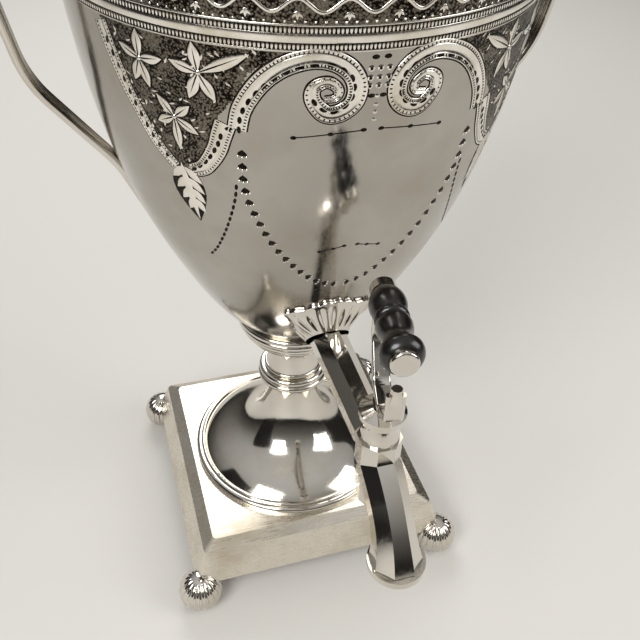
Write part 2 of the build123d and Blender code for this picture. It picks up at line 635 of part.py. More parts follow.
# Tap body with its faceted spout, flared at the mouth
with BuildPart() as tap_body:
    for ahead, below, dip, share in SPOUT_STATIONS:
        aim = (0, -math.cos(math.radians(dip)), -math.sin(math.radians(dip)))
        with BuildSketch(Plane((0, PLUG_Y - ahead, TAP_Z - below), x_dir=(1, 0, 0), z_dir=aim)):
            RegularPolygon(TAP_BODY_FLAT * share, 8, major_radius=False, rotation=22.5)
    with BuildSketch(Plane((0, SPOUT_MOUTH_Y, SPOUT_MOUTH_Z), x_dir=(1, 0, 0), z_dir=(0, 0, -1))):
        RegularPolygon(SPOUT_MOUTH_RADIUS - SPOUT_MOUTH_WALL, 8, major_radius=False, rotation=22.5)
    loft()
    with BuildSketch(Plane.XY.offset(TAP_BODY_BOTTOM_Z)):
        with Locations(on_plug(0)):
            RegularPolygon(TAP_BODY_FLAT - TAP_BODY_WAIST, 8, major_radius=False, rotation=22.5)
    with BuildSketch(Plane.XY.offset(TAP_BODY_SHOULDER_Z)):
        with Locations(on_plug(0)):
            RegularPolygon(TAP_BODY_FLAT, 8, major_radius=False, rotation=22.5)
    loft()
    with BuildSketch(Plane.XY.offset(TAP_BODY_SHOULDER_Z)):
        with Locations(on_plug(0)):
            RegularPolygon(TAP_BODY_FLAT, 8, major_radius=False, rotation=22.5)
    extrude(amount=TAP_BODY_TOP_Z - TAP_BODY_SHOULDER_Z)
    with Locations((0, SPOUT_MOUTH_Y, SPOUT_MOUTH_Z)):
        Cylinder(SPOUT_MOUTH_RADIUS, SPOUT_LIP_HEIGHT, align=(Align.CENTER, Align.CENTER, Align.MIN))
    with Locations((*on_plug(0), (TAP_BODY_BOTTOM_Z + TAP_BODY_TOP_Z) / 2)):
        Cone(PLUG_BOTTOM_RADIUS + RUN_GAP, PLUG_TOP_RADIUS + RUN_GAP, TAP_BODY_TOP_Z - TAP_BODY_BOTTOM_Z,
             mode=Mode.SUBTRACT)
    with BuildSketch(Plane.XZ.offset(-PLUG_Y - TAP_BODY_FLAT - 1)):
        with Locations((0, TAP_Z)):
            Circle(BARREL_BORE)
    extrude(amount=TAP_BODY_FLAT, mode=Mode.SUBTRACT)
    with BuildLine(Plane.YZ) as spout_way:
        FilletPolyline((PLUG_Y, TAP_Z - WATERWAY_DROP),
                       (PLUG_Y - WATERWAY_BEND[0], TAP_Z - WATERWAY_BEND[1]),
                       (SPOUT_MOUTH_Y, SPOUT_MOUTH_Z - WATERWAY_DROP), radius=WATERWAY_BEND_RADIUS)
    with BuildSketch(Plane(spout_way.line @ 0, x_dir=(1, 0, 0), z_dir=spout_way.line % 0)):
        Circle(SPOUT_BORE)
    sweep(path=spout_way.line, mode=Mode.SUBTRACT)
save(tap_body.part, "tap_body")

# Stop pin on top of the barrel, behind the tap body
with BuildPart() as tap_pin:
    with BuildSketch(Plane.XY.offset(TAP_Z + BARREL_END_RADIUS - 2.0)):
        with Locations(on_plug(-PIN_BACK)):
            Circle(PIN_RADIUS)
    extrude(amount=PIN_HEIGHT + 2.0)
    fillet(tap_pin.faces().sort_by(Axis.Z)[-1].edges(), PIN_RADIUS * 0.6)
    add(tap_barrel.part, mode=Mode.SUBTRACT)
save(tap_pin.part, "tap_pin")

# Turning plug, with its water way crosswise while the tap is shut
plug_top_z = TAP_BODY_TOP_Z + FACE_GAP
washer_top_z = TAP_BODY_BOTTOM_Z - FACE_GAP
tail_bottom_z = washer_top_z - WASHER_THICKNESS - PLUG_NUT_HEIGHT
disc_low_z = plug_top_z + BONNET_HEIGHT
disc_top_z = disc_low_z + DISC_THICKNESS + DISC_CONE
with BuildPart() as tap_plug:
    with Locations((*on_plug(0), (TAP_BODY_BOTTOM_Z + TAP_BODY_TOP_Z) / 2)):
        Cone(PLUG_BOTTOM_RADIUS, PLUG_TOP_RADIUS, TAP_BODY_TOP_Z - TAP_BODY_BOTTOM_Z)
    with BuildSketch(Plane.XY.offset(tail_bottom_z)):
        with Locations(on_plug(0)):
            Circle(PLUG_TAIL_RADIUS)
    extrude(amount=TAP_BODY_BOTTOM_Z - tail_bottom_z)
    with BuildSketch(Plane.XY.offset(TAP_BODY_TOP_Z)):
        with Locations(on_plug(0)):
            Circle(KEY_STEM_RADIUS)
    extrude(amount=disc_low_z - TAP_BODY_TOP_Z)
    with BuildSketch(Plane.YZ.offset(-TAP_BODY_FLAT)):
        with Locations((PLUG_Y, TAP_Z - WATERWAY_DROP)):
            Circle(BARREL_BORE - PLUG_WAY_SLACK)
    extrude(amount=2 * TAP_BODY_FLAT, mode=Mode.SUBTRACT)
save(tap_plug.part, "tap_plug")

with BuildPart() as plug_washer:
    with BuildSketch(Plane.XY.offset(washer_top_z - WASHER_THICKNESS)):
        with Locations(on_plug(0)):
            Circle(WASHER_RADIUS)
            Circle(PLUG_TAIL_RADIUS + RUN_GAP, mode=Mode.SUBTRACT)
    extrude(amount=WASHER_THICKNESS)
save(plug_washer.part, "plug_washer")

with BuildPart() as plug_nut:
    with BuildSketch(Plane.XY.offset(tail_bottom_z)):
        with Locations(on_plug(0)):
            RegularPolygon(PLUG_NUT_RADIUS, 6)
            Circle(PLUG_TAIL_RADIUS + RUN_GAP, mode=Mode.SUBTRACT)
    extrude(amount=PLUG_NUT_HEIGHT)
    chamfer(plug_nut.faces().sort_by(Axis.Z)[0].outer_wire().edges(), 0.6)
save(plug_nut.part, "plug_nut")

# Bonnet: a moulded collar under the disc that carries the lever
with BuildPart() as tap_bonnet:
    with BuildSketch(Plane.YZ):
        with BuildLine():
            y = PLUG_Y
            mid_z = plug_top_z + BONNET_HEIGHT * 0.42
            Polyline((y - KEY_STEM_RADIUS - RUN_GAP, plug_top_z), (y - BONNET_RADIUS, plug_top_z),
                     (y - BONNET_RADIUS, plug_top_z + 2.2))
            ThreePointArc((y - BONNET_RADIUS, plug_top_z + 2.2), (y - BONNET_RADIUS + BONNET_WAIST, mid_z),
                          (y - BONNET_RADIUS, disc_low_z - 2.6))
            Polyline((y - BONNET_RADIUS, disc_low_z - 2.6), (y - BONNET_RADIUS, disc_low_z - 0.8),
                     (y - DISC_RADIUS, disc_low_z), (y - DISC_RADIUS, disc_low_z + DISC_THICKNESS),
                     (y - LEVER_HUB_RADIUS, disc_top_z), (y, disc_top_z), (y, disc_low_z),
                     (y - KEY_STEM_RADIUS - RUN_GAP, disc_low_z), (y - KEY_STEM_RADIUS - RUN_GAP, plug_top_z))
        make_face()
    revolve(axis=Axis((0, PLUG_Y, 0), (0, 0, 1)))
save(tap_bonnet.part, "tap_bonnet")

# The key's own upright plane: local x runs from the plug axis along the grip, local y is up
key_forward = Vector(0, -1, 0).rotate(Axis.Z, KEY_TURN)
key_plane = Plane((0, PLUG_Y, disc_top_z), x_dir=key_forward, z_dir=key_forward.cross(Vector(0, 0, 1)))
grip_forward = Vector(math.cos(math.radians(GRIP_TILT)), math.sin(math.radians(GRIP_TILT)))


def on_grip(along):
    """A point of the grip's axis in the key's plane."""
    return (grip_forward.X * along, GRIP_RISE + grip_forward.Y * along)


def grip_frame(along):
    """A plane square to the grip's axis, that far along it, facing the user."""
    x, y = on_grip(along)
    origin = key_plane.from_local_coords(Vector(x, y, 0))
    ahead = key_plane.from_local_coords(Vector(*on_grip(along + 1), 0)) - origin
    return Plane(origin, x_dir=key_plane.z_dir, z_dir=ahead)


eye_along = -GRIP_HALF - LEVER_EYE_THICKNESS
with BuildPart() as tap_lever:
    with BuildLine(key_plane) as lever_way:
        eye_x, eye_y = on_grip(eye_along + LEVER_EYE_THICKNESS / 2)
        upright_foot = (eye_x + grip_forward.Y * LEVER_UPRIGHT, eye_y - grip_forward.X * LEVER_UPRIGHT)
        lever_path = FilletPolyline((CURL_REACH, CURL_RISE), (CURL_REACH + 0.4, 9.5), (4.0, 2.0),
                                    (-8.0, 4.4), upright_foot, (eye_x, eye_y), radius=(5.0, 6.0, 6.0, 10.0))
    with BuildSketch(Plane(lever_path @ 0, x_dir=key_plane.z_dir, z_dir=lever_path % 0)):
        RectangleRounded(LEVER_WIDTH, LEVER_THICKNESS, LEVER_THICKNESS * 0.4)
    sweep(path=lever_path)
    with BuildSketch(grip_frame(eye_along)):
        Circle(LEVER_EYE_RADIUS)
    extrude(amount=LEVER_EYE_THICKNESS)
    with BuildSketch(Plane.XY.offset(disc_top_z)):
        with Locations(on_plug(0)):
            Circle(LEVER_HUB_RADIUS)
    extrude(amount=LEVER_HUB_HEIGHT)
    knob_origin = key_plane.from_local_coords(Vector(CURL_REACH, CURL_RISE - CURL_KNOB_LENGTH / 2, 0))
    with BuildSketch(Plane(knob_origin, x_dir=key_plane.z_dir, z_dir=(0, 0, 1))):
        RegularPolygon(CURL_KNOB_RADIUS, 8)
    extrude(amount=CURL_KNOB_LENGTH, taper=8)
    with BuildSketch(grip_frame(eye_along)):
        Circle(GRIP_BORE)
    extrude(amount=LEVER_EYE_THICKNESS, mode=Mode.SUBTRACT)
save(tap_lever.part, "tap_lever")

# Turned ebony grip on its spindle, with a silver button at each end
grip_middle = grip_frame(0)
with BuildPart() as tap_grip:
    with BuildSketch(Plane(grip_middle.origin, x_dir=grip_middle.x_dir,
                           z_dir=grip_middle.x_dir.cross(grip_middle.z_dir))):
        with BuildLine():
            ball_start = (GRIP_NECK * 0.9, -GRIP_HALF)
            ball_end = (GRIP_NECK, -GRIP_HALF * 0.3)
            ThreePointArc(ball_start, (GRIP_BALL, -GRIP_HALF * 0.68), ball_end)
            bead_end = (GRIP_NECK + 0.6, -GRIP_HALF * 0.12)
            ThreePointArc(ball_end, (GRIP_BEAD, -GRIP_HALF * 0.2), bead_end)
            swell = (GRIP_BEAD, -GRIP_HALF * 0.02)
            Line(bead_end, swell)
            waist = (GRIP_WAIST, GRIP_HALF * 0.42)
            flare = (GRIP_FLARE, GRIP_HALF * 0.76)
            Spline(swell, waist, flare, tangents=((0.2, 1), (0.5, 1)))
            flare_end = (BUTTON_RADIUS + 0.4, GRIP_HALF)
            ThreePointArc(flare, (GRIP_FLARE - 0.4, GRIP_HALF * 0.9), flare_end)
            bore = GRIP_BORE + RUN_GAP
            Polyline(flare_end, (bore, GRIP_HALF), (bore, -GRIP_HALF), ball_start)
        make_face()
    revolve(axis=Axis(grip_middle.origin, grip_middle.z_dir))
save(tap_grip.part, "tap_grip")

with BuildPart() as grip_spindle:
    with BuildSketch(grip_frame(eye_along)):
        Circle(GRIP_BORE - RUN_GAP)
    extrude(amount=GRIP_HALF - eye_along)
save(grip_spindle.part, "grip_spindle")

for name, along, way in (("grip_button_front", GRIP_HALF, 1), ("grip_button_back", eye_along, -1)):
    with BuildPart() as button:
        with BuildSketch(grip_frame(along)):
            Circle(BUTTON_RADIUS)
        extrude(amount=way * BUTTON_THICKNESS)
        outer = button.faces().sort_by(Axis(grip_middle.origin, grip_middle.z_dir))
        fillet((outer[-1] if way > 0 else outer[0]).edges(), BUTTON_THICKNESS * 0.35)
    save(button.part, name)

# Lid: a domed shell on a flat edge, with a bezel that drops into the mouth
lid_low_z = MOUTH_Z + LID_LIFT
edge_top_z = lid_low_z + LID_EDGE


def lid_form(inset):
    """The lid's dome as a filled form, with its outline moved in by inset."""
    dome = moved_in([(LID_RADIUS - LID_STEP, edge_top_z), *LID_DOME, (LID_TOP_RADIUS, LID_TOP_Z)], inset)
    dome[0] = (LID_RADIUS - LID_STEP - inset, edge_top_z - inset)
    dome[-1] = (LID_TOP_RADIUS, LID_TOP_Z - inset)
    with BuildPart() as form:
        with BuildSketch(Plane.XZ):
            with BuildLine():
                Spline(*dome)
                Polyline(dome[-1], (0, dome[-1][1]), (0, lid_low_z), (dome[0][0], lid_low_z), dome[0])
            make_face()
        revolve(axis=Axis.Z)
    return form.part


with BuildPart() as lid:
    add(lid_form(0))
    with BuildSketch(Plane.XY.offset(lid_low_z)):
        Circle(LID_RADIUS)
    extrude(amount=LID_EDGE)
    fillet(lid.edges().filter_by(GeomType.CIRCLE).sort_by(Axis.Z)[:2].filter_by(
        lambda edge: edge.radius > LID_RADIUS - 1), LID_EDGE * 0.3)
    add(lid_form(SHEET), mode=Mode.SUBTRACT)
    with Locations((0, 0, LID_TOP_Z)):
        Cylinder(FINIAL_STUD_RADIUS + HOLE_GAP, 4 * SHEET, mode=Mode.SUBTRACT)
save(lid.part, "lid")

mouth_slope = (MOUTH_RADIUS - NECK_RADIUS) / (MOUTH_Z - NECK_Z)
bezel_radius = MOUTH_RADIUS - SHEET - mouth_slope * BEZEL_DEPTH - BEZEL_GAP
with BuildPart() as lid_bezel:
    with BuildSketch(Plane.XY.offset(lid_low_z)):
        Circle(bezel_radius)
        Circle(bezel_radius - SHEET, mode=Mode.SUBTRACT)
    extrude(amount=-BEZEL_DEPTH)
    with BuildSketch(Plane.XY.offset(lid_low_z)):
        Circle(LID_RADIUS - LID_STEP - SHEET - HOLE_GAP)
        Circle(bezel_radius - SHEET, mode=Mode.SUBTRACT)
    extrude(amount=LID_EDGE / 2)
save(lid_bezel.part, "lid_bezel")

# Hinge at the back of the mouth: two knuckles on the body, one on the lid, one pin
hinge_z = MOUTH_Z + LID_LIFT / 2


def knuckle(middle_x, length):
    """One knuckle of the hinge, with its bore."""
    with BuildPart() as piece:
        with BuildSketch(Plane.YZ.offset(middle_x - length / 2)):
            with Locations((HINGE_Y, hinge_z)):
                Circle(HINGE_RADIUS)
                Circle(HINGE_PIN_RADIUS + RUN_GAP, mode=Mode.SUBTRACT)
        extrude(amount=length)
    return piece.part


def hinge_plate(low_z, high_z, middle_x, length):
    """A flat leaf from the urn's axis side up to the pin, bored for it."""
    with BuildPart() as piece:
        with BuildSketch(Plane.YZ.offset(middle_x - length / 2)):
            with Locations((HINGE_Y - HINGE_REACH / 2, (low_z + high_z) / 2)):
                Rectangle(HINGE_REACH, high_z - low_z)
            with Locations((HINGE_Y, hinge_z)):
                Circle(HINGE_RADIUS, mode=Mode.SUBTRACT)
        extrude(amount=length)
    return piece.part


outer_x = HINGE_KNUCKLE + HINGE_SIDE_GAP
leaf_low_z = hinge_z - HINGE_RADIUS
with BuildPart() as hinge_body_leaf:
    for side in (-1, 1):
        add(knuckle(side * outer_x, HINGE_KNUCKLE))
        add(hinge_plate(leaf_low_z, MOUTH_Z, side * outer_x, HINGE_KNUCKLE))
    add(hinge_plate(leaf_low_z - HINGE_LEAF, leaf_low_z - HINGE_SIDE_GAP, 0, 2 * outer_x + HINGE_KNUCKLE))
    for side in (-1, 1):
        add(hinge_plate(leaf_low_z - HINGE_LEAF, leaf_low_z, side * outer_x, HINGE_KNUCKLE))
    add(body_outside, mode=Mode.SUBTRACT)
    add(rim_moulding.part, mode=Mode.SUBTRACT)
save(hinge_body_leaf.part, "hinge_body_leaf")

with BuildPart() as hinge_lid_leaf:
    add(knuckle(0, HINGE_KNUCKLE))
    add(hinge_plate(lid_low_z, hinge_z + HINGE_RADIUS, 0, HINGE_KNUCKLE))
    add(lid_form(0), mode=Mode.SUBTRACT)
    add(lid.part, mode=Mode.SUBTRACT)
save(hinge_lid_leaf.part, "hinge_lid_leaf")

pin_half = outer_x + HINGE_KNUCKLE / 2 + 1.0
with BuildPart() as hinge_pin:
    with BuildSketch(Plane.YZ.offset(-pin_half)):
        with Locations((HINGE_Y, hinge_z)):
            Circle(HINGE_PIN_RADIUS)
    extrude(amount=2 * pin_half)
    for side in (-1, 1):
        with Locations((side * (pin_half + 0.6), HINGE_Y, hinge_z)):
            Cylinder(HINGE_PIN_RADIUS * 1.6, 1.2, rotation=(0, 90, 0))
save(hinge_pin.part, "hinge_pin")

# Finial: silver foot, ebony vase and silver button on one stud, with a nut inside the lid
base_top_z = LID_TOP_Z + FINIAL_BASE_HEIGHT
ebony_top_z = base_top_z + FINIAL_EBONY_HEIGHT
stud_hole = FINIAL_STUD_RADIUS + RUN_GAP
with BuildPart() as finial_base:
    with BuildSketch(Plane.XZ):
        with BuildLine():
            low = (FINIAL_BASE_RADIUS, LID_TOP_Z)
            step = (FINIAL_BASE_RADIUS, LID_TOP_Z + 1.4)
            throat = (FINIAL_BASE_RADIUS * 0.42, LID_TOP_Z + FINIAL_BASE_HEIGHT * 0.72)
            top = (FINIAL_BASE_RADIUS * 0.6, base_top_z)
            Line(low, step)
            Spline(step, throat, top, tangents=((-1, 0.3), (1, 0.2)))
            Polyline(top, (stud_hole, base_top_z), (stud_hole, LID_TOP_Z), low)
        make_face()
    revolve(axis=Axis.Z)
save(finial_base.part, "finial_base")

with BuildPart() as finial_ebony:
    with BuildSketch(Plane.XZ):
        with BuildLine():
            low = (FINIAL_BASE_RADIUS * 0.5, base_top_z)
            belly = (FINIAL_EBONY_RADIUS, base_top_z + FINIAL_EBONY_HEIGHT * 0.48)
            throat = (FINIAL_EBONY_RADIUS * 0.42, base_top_z + FINIAL_EBONY_HEIGHT * 0.86)
            top = (FINIAL_EBONY_RADIUS * 0.55, ebony_top_z)
            Spline(low, belly, throat, top, tangents=((0.8, 1), (1, 0.6)))
            Polyline(top, (stud_hole, ebony_top_z), (stud_hole, base_top_z), low)
        make_face()
    revolve(axis=Axis.Z)
save(finial_ebony.part, "finial_ebony")

with BuildPart() as finial_button:
    with Locations((0, 0, ebony_top_z)):
        Cylinder(FINIAL_BUTTON_RADIUS, FINIAL_BUTTON_HEIGHT * 0.3,
                 align=(Align.CENTER, Align.CENTER, Align.MIN))
    button_ball = FINIAL_BUTTON_RADIUS * 0.75
    with Locations((0, 0, ebony_top_z + FINIAL_BUTTON_HEIGHT - button_ball)):
        Sphere(button_ball)
    with Locations((0, 0, ebony_top_z)):
        Cylinder(FINIAL_BUTTON_RADIUS, FINIAL_BUTTON_HEIGHT, align=(Align.CENTER, Align.CENTER, Align.MAX),
                 mode=Mode.SUBTRACT)
save(finial_button.part, "finial_button")

finial_nut_top_z = LID_TOP_Z - SHEET
with BuildPart() as finial_stud:
    with BuildSketch(Plane.XY.offset(finial_nut_top_z - FINIAL_NUT_HEIGHT - 1)):
        Circle(FINIAL_STUD_RADIUS)
    extrude(amount=ebony_top_z - finial_nut_top_z + FINIAL_NUT_HEIGHT + 1)
save(finial_stud.part, "finial_stud")

with BuildPart() as finial_nut:
    with BuildSketch(Plane.XY.offset(finial_nut_top_z - FINIAL_NUT_HEIGHT)):
        RegularPolygon(FINIAL_NUT_RADIUS, 6)
        Circle(stud_hole, mode=Mode.SUBTRACT)
    extrude(amount=FINIAL_NUT_HEIGHT)
save(finial_nut.part, "finial_nut")
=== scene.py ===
"""Looks of a silver-plated tea urn: finishes, engraved ornament, stage, light and camera."""

import logging
import math
import random
from dataclasses import dataclass, field
from enum import Enum
from typing import Callable, Iterable, Sequence

import bpy
from mathutils import Matrix, Vector
from mathutils.bvhtree import BVHTree


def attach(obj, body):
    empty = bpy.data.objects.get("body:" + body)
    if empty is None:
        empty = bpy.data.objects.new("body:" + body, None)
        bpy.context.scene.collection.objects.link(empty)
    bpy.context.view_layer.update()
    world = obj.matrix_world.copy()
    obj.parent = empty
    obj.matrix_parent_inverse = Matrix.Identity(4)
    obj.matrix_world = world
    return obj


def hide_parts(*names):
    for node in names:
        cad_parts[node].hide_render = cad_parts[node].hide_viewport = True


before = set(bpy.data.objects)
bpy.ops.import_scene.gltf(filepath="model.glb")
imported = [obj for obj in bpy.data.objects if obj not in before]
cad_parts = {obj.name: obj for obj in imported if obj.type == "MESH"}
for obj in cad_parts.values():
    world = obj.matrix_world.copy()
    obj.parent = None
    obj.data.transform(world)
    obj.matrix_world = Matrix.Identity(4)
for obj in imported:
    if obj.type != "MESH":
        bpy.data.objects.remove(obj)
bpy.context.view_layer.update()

MM = 0.001
SEED = 7
FRONT_ANGLE = -90.0          # degrees round the urn's axis at which the tap stands

log = logging.getLogger("tea_urn")

MIX_FIRST, MIX_SECOND, MIX_RESULT = 6, 7, 2     # the colour sockets of a Mix node
CURVE_STEPS = 16             # between two drawn points of a smooth line
PETAL_STEPS = 8
BEAD_SIDES, BEAD_RINGS = 12, 3
THINNEST = 0.02              # mm, half the least width of a petal

# How each kind of petal and bead is raised, in mm; swell and stretch are shares.
LEAF = {"rise": 0.34, "crease": 0.26, "swell": 0.52, "lift": 0.14}
VEIN = {"width": 0.5, "rise": 0.04, "swell": 0.3, "lift": 0.3}
# LEAF_SHADOW is a flat dark petal of painted shade, laid under each leaf
LEAF_SHADOW = {"rise": 0.02, "swell": 0.52, "lift": 0.09}
SMALL_LEAF = {"width": 0.9, "rise": 0.12, "lift": 0.1}
LOBE = {"width": 3.4, "rise": 0.3, "crease": 0.22, "lift": 0.12}
MIDDLE_LOBE = {"width": 3.6, "rise": 0.4, "crease": 0.3, "lift": 0.16}
# DROP_SHADOW is a flat dark petal of painted shade, laid under the acanthus drop
DROP_SHADOW = {"width": 14.5, "rise": 0.02, "swell": 0.42, "lift": 0.06}
HUSK_CUT = {"rise": 0.02, "swell": 0.62, "lift": 0.06}
SPRAY_HEART = {"radius": 0.9, "rise": 0.5, "lift": 0.2}
SCROLL_OVAL = {"radius": 0.78, "stretch": 1.75, "rise": 0.02, "lift": 0.16}
PEARL = {"radius": 0.5, "rise": 0.34}
CHAIN_OVAL = {"radius": 0.65, "stretch": 2.0, "rise": 0.02}
COLUMN_RING = {"radius": 1.05, "rise": 0.3}
COLUMN_CUT = {"radius": 0.5, "rise": 0.01, "lift": 0.38}
COLUMN_BEAD = {"radius": 0.8, "rise": 0.3}
COLUMN_OVAL = {"radius": 0.75, "stretch": 1.6, "rise": 0.02}
RULE_DIAMOND = {"radius": 0.7, "stretch": 1.5, "rise": 0.03, "lift": 0.04}

Point2 = tuple[float, float]
Point3 = tuple[float, float, float]
Material = bpy.types.Material


class Body(Enum):
    """The body of the urn that new pieces ride on."""

    ROOT = "root"


class Slot(Enum):
    """Two material slot names, polished and engraved silver, that no piece here takes its finish
    from.
    """

    POLISHED = "polished_silver"
    ENGRAVED = "engraved_silver"


def linear(hex_colour: str) -> tuple[float, float, float, float]:
    """Turns an sRGB hex colour into linear RGBA.

    Args:
        hex_colour: six hex digits with a leading hash.

    Returns:
        The colour as four linear floats, alpha 1.
    """
    digits = hex_colour.lstrip("#")
    channels = [int(digits[i:i + 2], 16) / 255 for i in (0, 2, 4)]
    red, green, blue = (
        c / 12.92 if c <= 0.04045 else ((c + 0.055) / 1.055) ** 2.4 for c in channels
    )
    return red, green, blue, 1.0


def add_node(
    tree: bpy.types.NodeTree,
    kind: str,
    settings: dict[str, object] | None = None,
    inputs: dict[str | int, object] | None = None,
) -> bpy.types.Node:
    """Adds one shader node, with its settings, values and links.

    Args:
        tree: the node tree it goes into.
        kind: the node's type name.
        settings: attributes of the node to set.
        inputs: socket name or number to a plain value, or to the output that feeds it.

    Returns:
        The new node.
    """
    node = tree.nodes.new(kind)
    for name, value in (settings or {}).items():
        setattr(node, name, value)
    for name, value in (inputs or {}).items():
        if isinstance(value, bpy.types.NodeSocket):
            tree.links.new(value, node.inputs[name])
        else:
            node.inputs[name].default_value = value
    return node


def per_mm(size_mm: float) -> float:
    """Gives the texture scale at which one cell or wave is size_mm across."""
    return 1.0 / (size_mm * MM)


@dataclass(frozen=True)
class Finish:
    """What every finish shares: its name, and one surface shader that its pattern feeds."""

    name: str

    def pattern(self, tree: bpy.types.NodeTree) -> dict[str | int, object]:
        """Makes the finish's own nodes.

        Args:
            tree: the material's node tree.

        Returns:
            The surface shader's values and links.
        """
        raise NotImplementedError

    def build(self) -> Material:
        """Makes the material from its pattern.

        Returns:
            The finished material.
        """
        material = bpy.data.materials.new(self.name)
        material.use_nodes = True
        tree = material.node_tree
        tree.nodes.clear()
        shader = add_node(tree, "ShaderNodeBsdfPrincipled", {}, self.pattern(tree))
        add_node(tree, "ShaderNodeOutputMaterial", {}, {"Surface": shader.outputs["BSDF"]})
        return material


@dataclass(frozen=True)
class SilverPlate(Finish):
    """Electroplated silver on nickel silver, buffed: warm white, sharp reflections.

    The plate is soft, so it carries fine wipe marks, and a thin yellow bloom where it is not
    rubbed. tarnish is the share of that bloom.
    """

    clean: str = "#DCD8D0"
    bloom: str = "#B7A98C"
    roughness_low: float = 0.055
    roughness_high: float = 0.16
    tarnish: float = 0.35
    cloud_mm: float = 26.0
    cloud_detail: float = 4.0
    cloud_roughness: float = 0.55
    bloom_starts: float = 0.42  # noise values between which the bloom grows
    bloom_full: float = 0.72
    wipe_mm: float = 0.9        # wipe marks are finer on the real plate; this is as fine as shows
    wipe_drawn_out: Point3 = (1.0, 1.0, 0.12)
    rub_starts: float = 0.14    # noise values between which the polish dulls
    rub_full: float = 0.4
    ripple: float = 0.02
    ripple_mm: float = 18.0
    ripple_depth_mm: float = 2.0
    ripple_detail: float = 1.0

    def pattern(self, tree: bpy.types.NodeTree) -> dict[str | int, object]:
        """Makes the bloom, the wipe marks and the faint ripple of the sheet.

        Args:
            tree: the material's node tree.

        Returns:
            The surface shader's values and links.
        """
        place = add_node(tree, "ShaderNodeTexCoord").outputs["Object"]
        clouds = add_node(
            tree, "ShaderNodeTexNoise", {},
            {"Vector": place, "Scale": per_mm(self.cloud_mm), "Detail": self.cloud_detail,
             "Roughness": self.cloud_roughness},
        ).outputs["Fac"]
        stretched = add_node(
            tree, "ShaderNodeMapping", {},
            {"Vector": place, "Scale": self.wipe_drawn_out},
        ).outputs["Vector"]
        wipes = add_node(
            tree, "ShaderNodeTexNoise", {},
            {"Vector": stretched, "Scale": per_mm(self.wipe_mm), "Detail": 3.0},
        ).outputs["Fac"]
        bloom_share = add_node(
            tree, "ShaderNodeMapRange", {},
            {"Value": clouds, "From Min": self.bloom_starts, "From Max": self.bloom_full,
             "To Min": 0.0, "To Max": self.tarnish},
        ).outputs["Result"]
        colour = add_node(
            tree, "ShaderNodeMix", {"data_type": "RGBA"},
            {"Factor": bloom_share, MIX_FIRST: linear(self.clean),
             MIX_SECOND: linear(self.bloom)},
        ).outputs[MIX_RESULT]
        worn = add_node(
            tree, "ShaderNodeMath", {"operation": "MULTIPLY"}, {0: clouds, 1: wipes}
        ).outputs[0]
        roughness = add_node(
            tree, "ShaderNodeMapRange", {},
            {"Value": worn, "From Min": self.rub_starts, "From Max": self.rub_full,
             "To Min": self.roughness_low, "To Max": self.roughness_high},
        ).outputs["Result"]
        beaten = add_node(
            tree, "ShaderNodeTexNoise", {},
            {"Vector": place, "Scale": per_mm(self.ripple_mm), "Detail": self.ripple_detail},
        ).outputs["Fac"]
        bump = add_node(
            tree, "ShaderNodeBump", {},
            {"Height": beaten, "Strength": self.ripple, "Distance": self.ripple_depth_mm * MM},
        ).outputs["Normal"]
        return {"Base Color": colour, "Metallic": 1.0, "Roughness": roughness, "Normal": bump}


@dataclass(frozen=True)
class MattedSilver(Finish):
    """Silver ground punched all over with a blunt tracer: dark, grainy, dull between the cuts.

    Polish stays in the punch marks and turns black, which is what makes the cut work read.
    """

    pit: str = "#17140F"
    land: str = "#857D70"
    grain_mm: float = 0.8
    cloud_grains: float = 9.0   # punch marks across one rubbed patch
    rub_starts: float = 0.12    # noise values between which pit turns to land
    rub_full: float = 0.34
    roughness: float = 0.42
    depth: float = 0.6
    punch_mm: float = 0.25

    def pattern(self, tree: bpy.types.NodeTree) -> dict[str | int, object]:
        """Makes the punch marks, darker where less rubbed.

        Args:
            tree: the material's node tree.

        Returns:
            The surface shader's values and links.
        """
        place = add_node(tree, "ShaderNodeTexCoord").outputs["Object"]
        punches = add_node(
            tree, "ShaderNodeTexVoronoi", {"feature": "F1"},
            {"Vector": place, "Scale": per_mm(self.grain_mm)},
        ).outputs["Distance"]
        clouds = add_node(
            tree, "ShaderNodeTexNoise", {},
            {"Vector": place, "Scale": per_mm(self.cloud_grains * self.grain_mm),
             "Detail": 3.0},
        ).outputs["Fac"]
        rubbed = add_node(
            tree, "ShaderNodeMath", {"operation": "MULTIPLY"}, {0: punches, 1: clouds}
        ).outputs[0]
        share = add_node(
            tree, "ShaderNodeMapRange", {},
            {"Value": rubbed, "From Min": self.rub_starts, "From Max": self.rub_full,
             "To Min": 1.0, "To Max": 0.0},
        ).outputs["Result"]
        colour = add_node(
            tree, "ShaderNodeMix", {"data_type": "RGBA"},
            {"Factor": share, MIX_FIRST: linear(self.pit), MIX_SECOND: linear(self.land)},
        ).outputs[MIX_RESULT]
        bump = add_node(
            tree, "ShaderNodeBump", {"invert": True},
            {"Height": punches, "Strength": self.depth, "Distance": self.punch_mm * MM},
        ).outputs["Normal"]
        return {"Base Color": colour, "Metallic": 1.0, "Roughness": self.roughness,
                "Normal": bump}


@dataclass(frozen=True)
class SatinSilver(SilverPlate):
    """Silver plate rubbed thin by long years of cleaning: a soft sheen with wiped streaks.

    Its bloom is the worn patches, and its ripple is shallow dents.
    """

    clean: str = "#E4DDD0"
    bloom: str = "#B9AC92"
    roughness_low: float = 0.2
    roughness_high: float = 0.36
    tarnish: float = 0.75
    cloud_mm: float = 34.0
    cloud_detail: float = 5.0
    cloud_roughness: float = 0.6
    bloom_starts: float = 0.45
    bloom_full: float = 0.75
    wipe_mm: float = 1.1        # cleaning streaks, drawn a little coarser than real to show
    wipe_drawn_out: Point3 = (0.1, 1.0, 1.0)
    rub_starts: float = 0.15
    rub_full: float = 0.36
    ripple: float = 0.12
    ripple_mm: float = 42.0
    ripple_depth_mm: float = 3.0
    ripple_detail: float = 0.0


